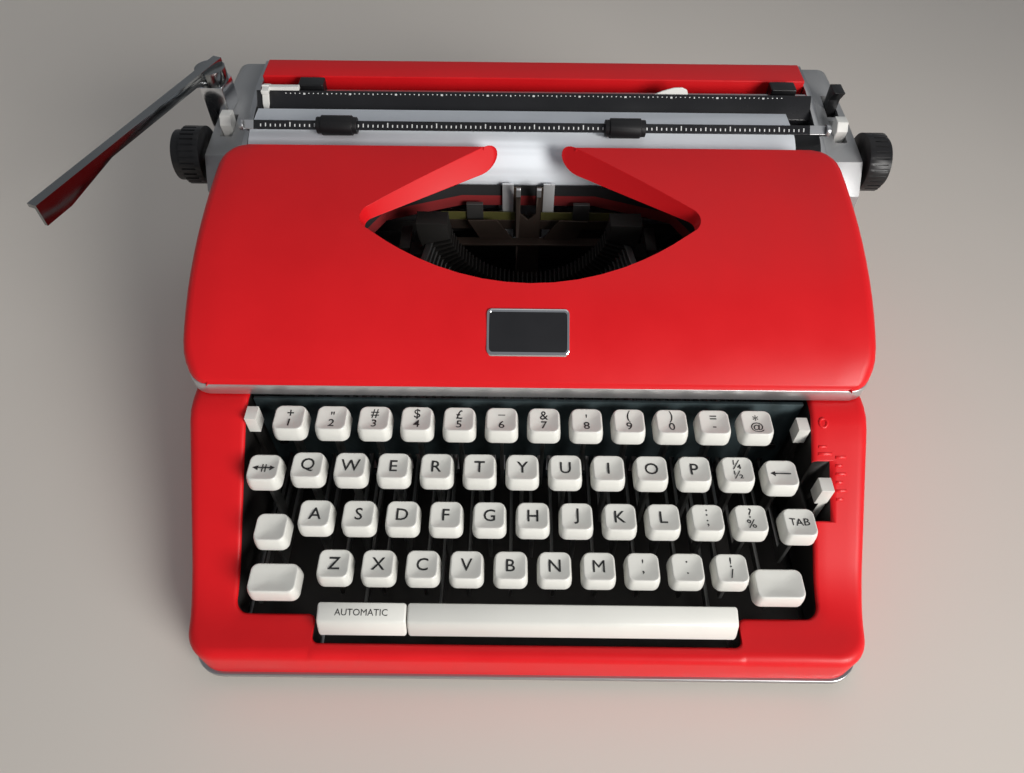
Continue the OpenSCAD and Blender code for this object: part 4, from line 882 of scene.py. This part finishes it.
def add_table_scale():
    """Dotted scale along the top edge of the paper table."""
    scale = Shape()
    c, s = TABLE_ALONG
    top = (TABLE_EDGE_Y - TABLE_DOT_LIFT * s, TABLE_EDGE_Z + TABLE_DOT_LIFT * c)
    for i in TABLE_DOTS:
        wide = 0.6 if i % 10 == 0 else 0.3
        tall = 0.9 if i % 5 == 0 else 0.5
        x0, x1 = (CARRIAGE_X + i * TICK_PITCH + side * wide for side in (-1, 1))
        foot = (top[0] - tall * c, top[1] - tall * s)
        scale.add([(x0, *top), (x1, *top), (x1, *foot), (x0, *foot)], [(0, 1, 2, 3)])
    scale.build("table_scale", [white_ink], "carriage")


# Works inside

LEVER_NECKS = (("ribbon_selector", 65), ("tab_lever", 61), ("touch_lever", 48))
VIBRATOR_OUTLINE = [(-8.2, 64), (8.2, 64), (8.2, 100), (5.2, 100), (5.0, 82), (1.6, 82), (0, 79),
                    (-1.6, 82), (-5.0, 82), (-5.2, 100), (-8.2, 100)]
VIBRATOR_Y = (227.6, 228.4)
# Height and outlines of the dark sheet painted as shade on the base under the keys and the bars.
SHADE_FLOOR_Z = (9.0, 9.5)
SHADE_FLOORS = ((64.2, 127, 43.2, 6), (16.0, 91.5, 6.8, 3))
SCREW_X, SCREW_Z = 120, 41
SCREW_PROFILE = [(103.5, 0.6), (103.5, 2.6), (102.7, 2.6), (102.3, 2.0), (102.3, 0.6)]
GUIDE_OUTLINE = [(-6.6, 24), (6.6, 24), (6.6, 105), (4.2, 105), (4.2, 88), (0, 84), (-4.2, 88),
                 (-4.2, 105), (-6.6, 105)]
GUIDE_Y = (220.4, 221.6)
SHELF_HALF, SHELF_OUTLINE = 48, [(214.5, 70.4), (220.4, 70.4), (220.4, 71.6), (214.5, 71.6)]
CARD_REST_OUTLINE, CARD_REST_Y = [(32.7, 84), (17, 84.5), (8.4, 71.6), (26.5, 71.6)], (219.2, 220.2)
GUIDE_SIDES = (
    ((5.4, 6.6), [(221.5, 60), (226.4, 66), (226.4, 92), (224, 100), (221.5, 104.5)], 0),
    ((6.0, 48), [(224.8, 74), (226.4, 74), (226.4, 80), (224.8, 80)], 0),
    ((7.0, 47.5), [(225.4, 79.5), (226.0, 79.5), (226.0, 85.2), (225.4, 85.2)], 1),
    ((24.5, 33.5), [(224.3, 81), (225.3, 81), (225.3, 90.6), (226.6, 90.6), (226.6, 91.2), (224.3, 91.2)], 2),
    ((4.2, 6.6), [(219.8, 99.5), (220.4, 99.5), (220.4, 105), (219.8, 104)], 3),
)


def add_works():
    """Frames, segment, typebars, spools and levers from their CAD pieces, with the type guide built anew."""
    dress("base_plate", steel, 0.6, 3)
    dress("cover_trim", satin, 0.5, 3)
    dress("rubber_feet", rubber, 0.8)
    dress("key_comb", comb_paint, 0.2)
    for node in ("side_frames", "front_crossbar", "rear_crossbar", "carriage_rails", "spool_supports"):
        dress(node, dark_steel_and_shade, 0.3)
    dress("segment", dull_near_black, 0.3)
    dress("key_fulcrum_rod", steel, 0.2)
    dress("bell", chrome, 0.4)
    for node in ("typebars", "typebar_h"):
        dress(node, lever_steel, 0.1, 1)
    dress("ribbon_vibrator", bright_steel, 0.2)
    add_vibrator_plate()
    for node in ("spool_left", "spool_right"):
        dress(node, dark_steel_and_shade, 0.3)
    dress("mainspring_drum", steel, 0.4)
    dress("escapement_wheel", brass, 0.1, 1)
    dress("ribbon", ribbon_cloth, 0.02, 1)
    for node, neck in LEVER_NECKS:
        dress(node, ivory, 0.6, 3, second=dark_steel_and_shade, where=lambda p: p.z < neck)
    add_shade_floor_and_screws()
    add_type_guide()


def add_vibrator_plate():
    """Forked plate that shows in front of the ribbon vibrator and lifts with it."""
    plate = Shape()
    plate.loft([[(x, y, z) for x, z in VIBRATOR_OUTLINE] for y in VIBRATOR_Y])
    plate.build("vibrator_plate", [bronze], "ribbon_vibrator", edge=0.2)


def add_shade_floor_and_screws():
    """Dark sheet on the base plate under the keys and bars, painted there as shade, and the comb plate's two
    screws.
    """
    # This sheet is painted shade; the base plate under it is bare steel.
    floor = Shape()
    for y, half_w, half_d, radius in SHADE_FLOORS:
        floor.flat_prism(*SHADE_FLOOR_Z, rounded_square(0, y, half_w, half_d, radius))
    floor.build("well_floor", [dark_steel_and_shade], "body", sharp=40)
    screws = Shape()
    for x in (-SCREW_X, SCREW_X):
        screws.lathe(x, SCREW_Z, SCREW_PROFILE, 20)
    screws.build("comb_screws", [black_paint], "body", sharp=40)


def add_type_guide():
    """Channel that guides the type to the platen, with the two card holders."""
    guide = Shape()
    guide.loft([[(x, y, z) for x, z in GUIDE_OUTLINE] for y in GUIDE_Y])
    for side in (-1, 1):
        for reach, outline, mark in GUIDE_SIDES:
            guide.side_prism(*sorted(side * x for x in reach), outline, mark)
        guide.loft([[(side * x, y, z) for x, z in CARD_REST_OUTLINE] for y in CARD_REST_Y])
    guide.side_prism(-SHELF_HALF, SHELF_HALF, SHELF_OUTLINE)
    guide.build("type_guide_form", [bronze, olive, lever_steel, satin], "body", "type_guide", edge=0.2)


# Badge

BADGE_LEFT, BADGE_RIGHT, BADGE_FRONT, BADGE_REAR = -19.0, 17.7, 112.9, 130.4
BADGE_BORDER, BADGE_FACE_LIFT, BADGE_COLUMN, BADGE_ROWS = 1.2, 0.6, 10, 8
BADGE_LAYERS = ((0, -0.4, 2.0), (0, 0.7, 2.0), (0.35, 0.95, 1.8), (1.0, 0.95, 1.4),
                (BADGE_BORDER, BADGE_FACE_LIFT, 1.2))


def add_badge():
    """Bare plate with a bright border on the cover's front slope."""
    plate = Shape()
    x, half_w = (BADGE_LEFT + BADGE_RIGHT) / 2, (BADGE_RIGHT - BADGE_LEFT) / 2
    y, half_d = (BADGE_FRONT + BADGE_REAR) / 2, (BADGE_REAR - BADGE_FRONT) / 2
    border = []
    for inset, lift, radius in BADGE_LAYERS:
        outline = rounded_square(x, y, half_w - inset, half_d - inset, radius, 4)
        border.append([(px, py, cover_height(py) + lift) for px, py in outline])
    plate.loft(border, 1, cap=False)
    left, right = BADGE_LEFT + BADGE_BORDER, BADGE_RIGHT - BADGE_BORDER
    columns = (left, BADGE_LEFT + BADGE_COLUMN, BADGE_RIGHT - BADGE_COLUMN, right)
    face = []
    for i in range(BADGE_ROWS + 1):
        py = BADGE_FRONT + BADGE_BORDER + (BADGE_REAR - BADGE_FRONT - 2 * BADGE_BORDER) * i / BADGE_ROWS
        face.append([(px, py, cover_height(py) + BADGE_FACE_LIFT) for px in columns])
    plate.loft(face, 0, closed=False, cap=False)
    plate.build("badge_plate", [black_paint, chrome], "cover", sharp=40)


# Stage

CAMERA_PLACE = (-6.95, -100.63, 345.16)
CAMERA_ELEVATION, CAMERA_YAW, CAMERA_ROLL = 51.817, -0.165, -0.519
FOCAL_PIXELS, PICTURE_W, SENSOR_W = 740, 1024, 36
FLOOR_HALF = 3.0
SKY_COLOUR, SKY_STRENGTH = (0.9, 0.94, 1.0, 1), 0.24


def add_camera():
    """Camera at the photo's angle."""
    up_c, up_s = turned(CAMERA_ELEVATION)
    yaw_c, yaw_s = turned(CAMERA_YAW)
    roll_c, roll_s = turned(CAMERA_ROLL)
    ahead = Vector((yaw_s * up_c, yaw_c * up_c, -up_s))
    right = Vector((yaw_c, -yaw_s, 0))
    down = ahead.cross(right)
    across = roll_c * right + roll_s * down
    below = roll_c * down - roll_s * right
    data = bpy.data.cameras.new("camera")
    data.sensor_width = SENSOR_W
    data.sensor_fit = "HORIZONTAL"
    data.lens = FOCAL_PIXELS / PICTURE_W * SENSOR_W
    data.clip_start = 0.01
    camera = bpy.data.objects.new("camera", data)
    scene.collection.objects.link(camera)
    aim = Matrix((across, -below, -ahead)).transposed().to_4x4()
    camera.matrix_world = Matrix.Translation(at(*CAMERA_PLACE)) @ aim
    scene.camera = camera


def add_light(name, place, target, size, power, colour, spread=180):
    """Round area lamp in metres and watts, aimed at a point; spread narrows its beam, in degrees."""
    data = bpy.data.lights.new(name, "AREA")
    data.shape = "DISK"
    data.size = size
    data.energy = power
    data.color = colour
    data.spread = math.radians(spread)
    lamp = bpy.data.objects.new(name, data)
    lamp.location = place
    lamp.rotation_euler = (Vector(target) - Vector(place)).to_track_quat("-Z", "Y").to_euler()
    scene.collection.objects.link(lamp)


def add_stage():
    """Pale floor, even sky, and two soft lamps."""
    mesh = bpy.data.meshes.new("floor")
    corners = [(x * FLOOR_HALF, y * FLOOR_HALF, 0) for x, y in ((-1, -1), (1, -1), (1, 1), (-1, 1))]
    mesh.from_pydata(corners, [], [(0, 1, 2, 3)])
    pale = add_material("pale_floor", (0.72, 0.67, 0.61), 0.8, spread=0.03, cloud=3, grain=300, bump=0.02)
    mesh.materials.append(pale)
    floor = bpy.data.objects.new("floor", mesh)
    scene.collection.objects.link(floor)
    world = bpy.data.worlds.new("studio")
    world.use_nodes = True
    sky = world.node_tree.nodes["Background"]
    sky.inputs["Color"].default_value = SKY_COLOUR
    sky.inputs["Strength"].default_value = SKY_STRENGTH
    scene.world = world
    add_light("window", (0.95, -1.1, 0.58), (0.04, -0.1, 0.05), 0.8, 3.7, (1.0, 0.98, 0.95), 60)
    add_light("room", (0.3, 0.5, 1.3), (0, 0, 0.05), 1.2, 1.6, (1.0, 0.97, 0.93))
    scene.view_settings.view_transform = "Standard"


add_camera()
add_stage()
add_cover()
add_badge()
add_lower_case()
add_rail_marks()
add_keyboard()
add_bars()
add_carriage()
add_works()
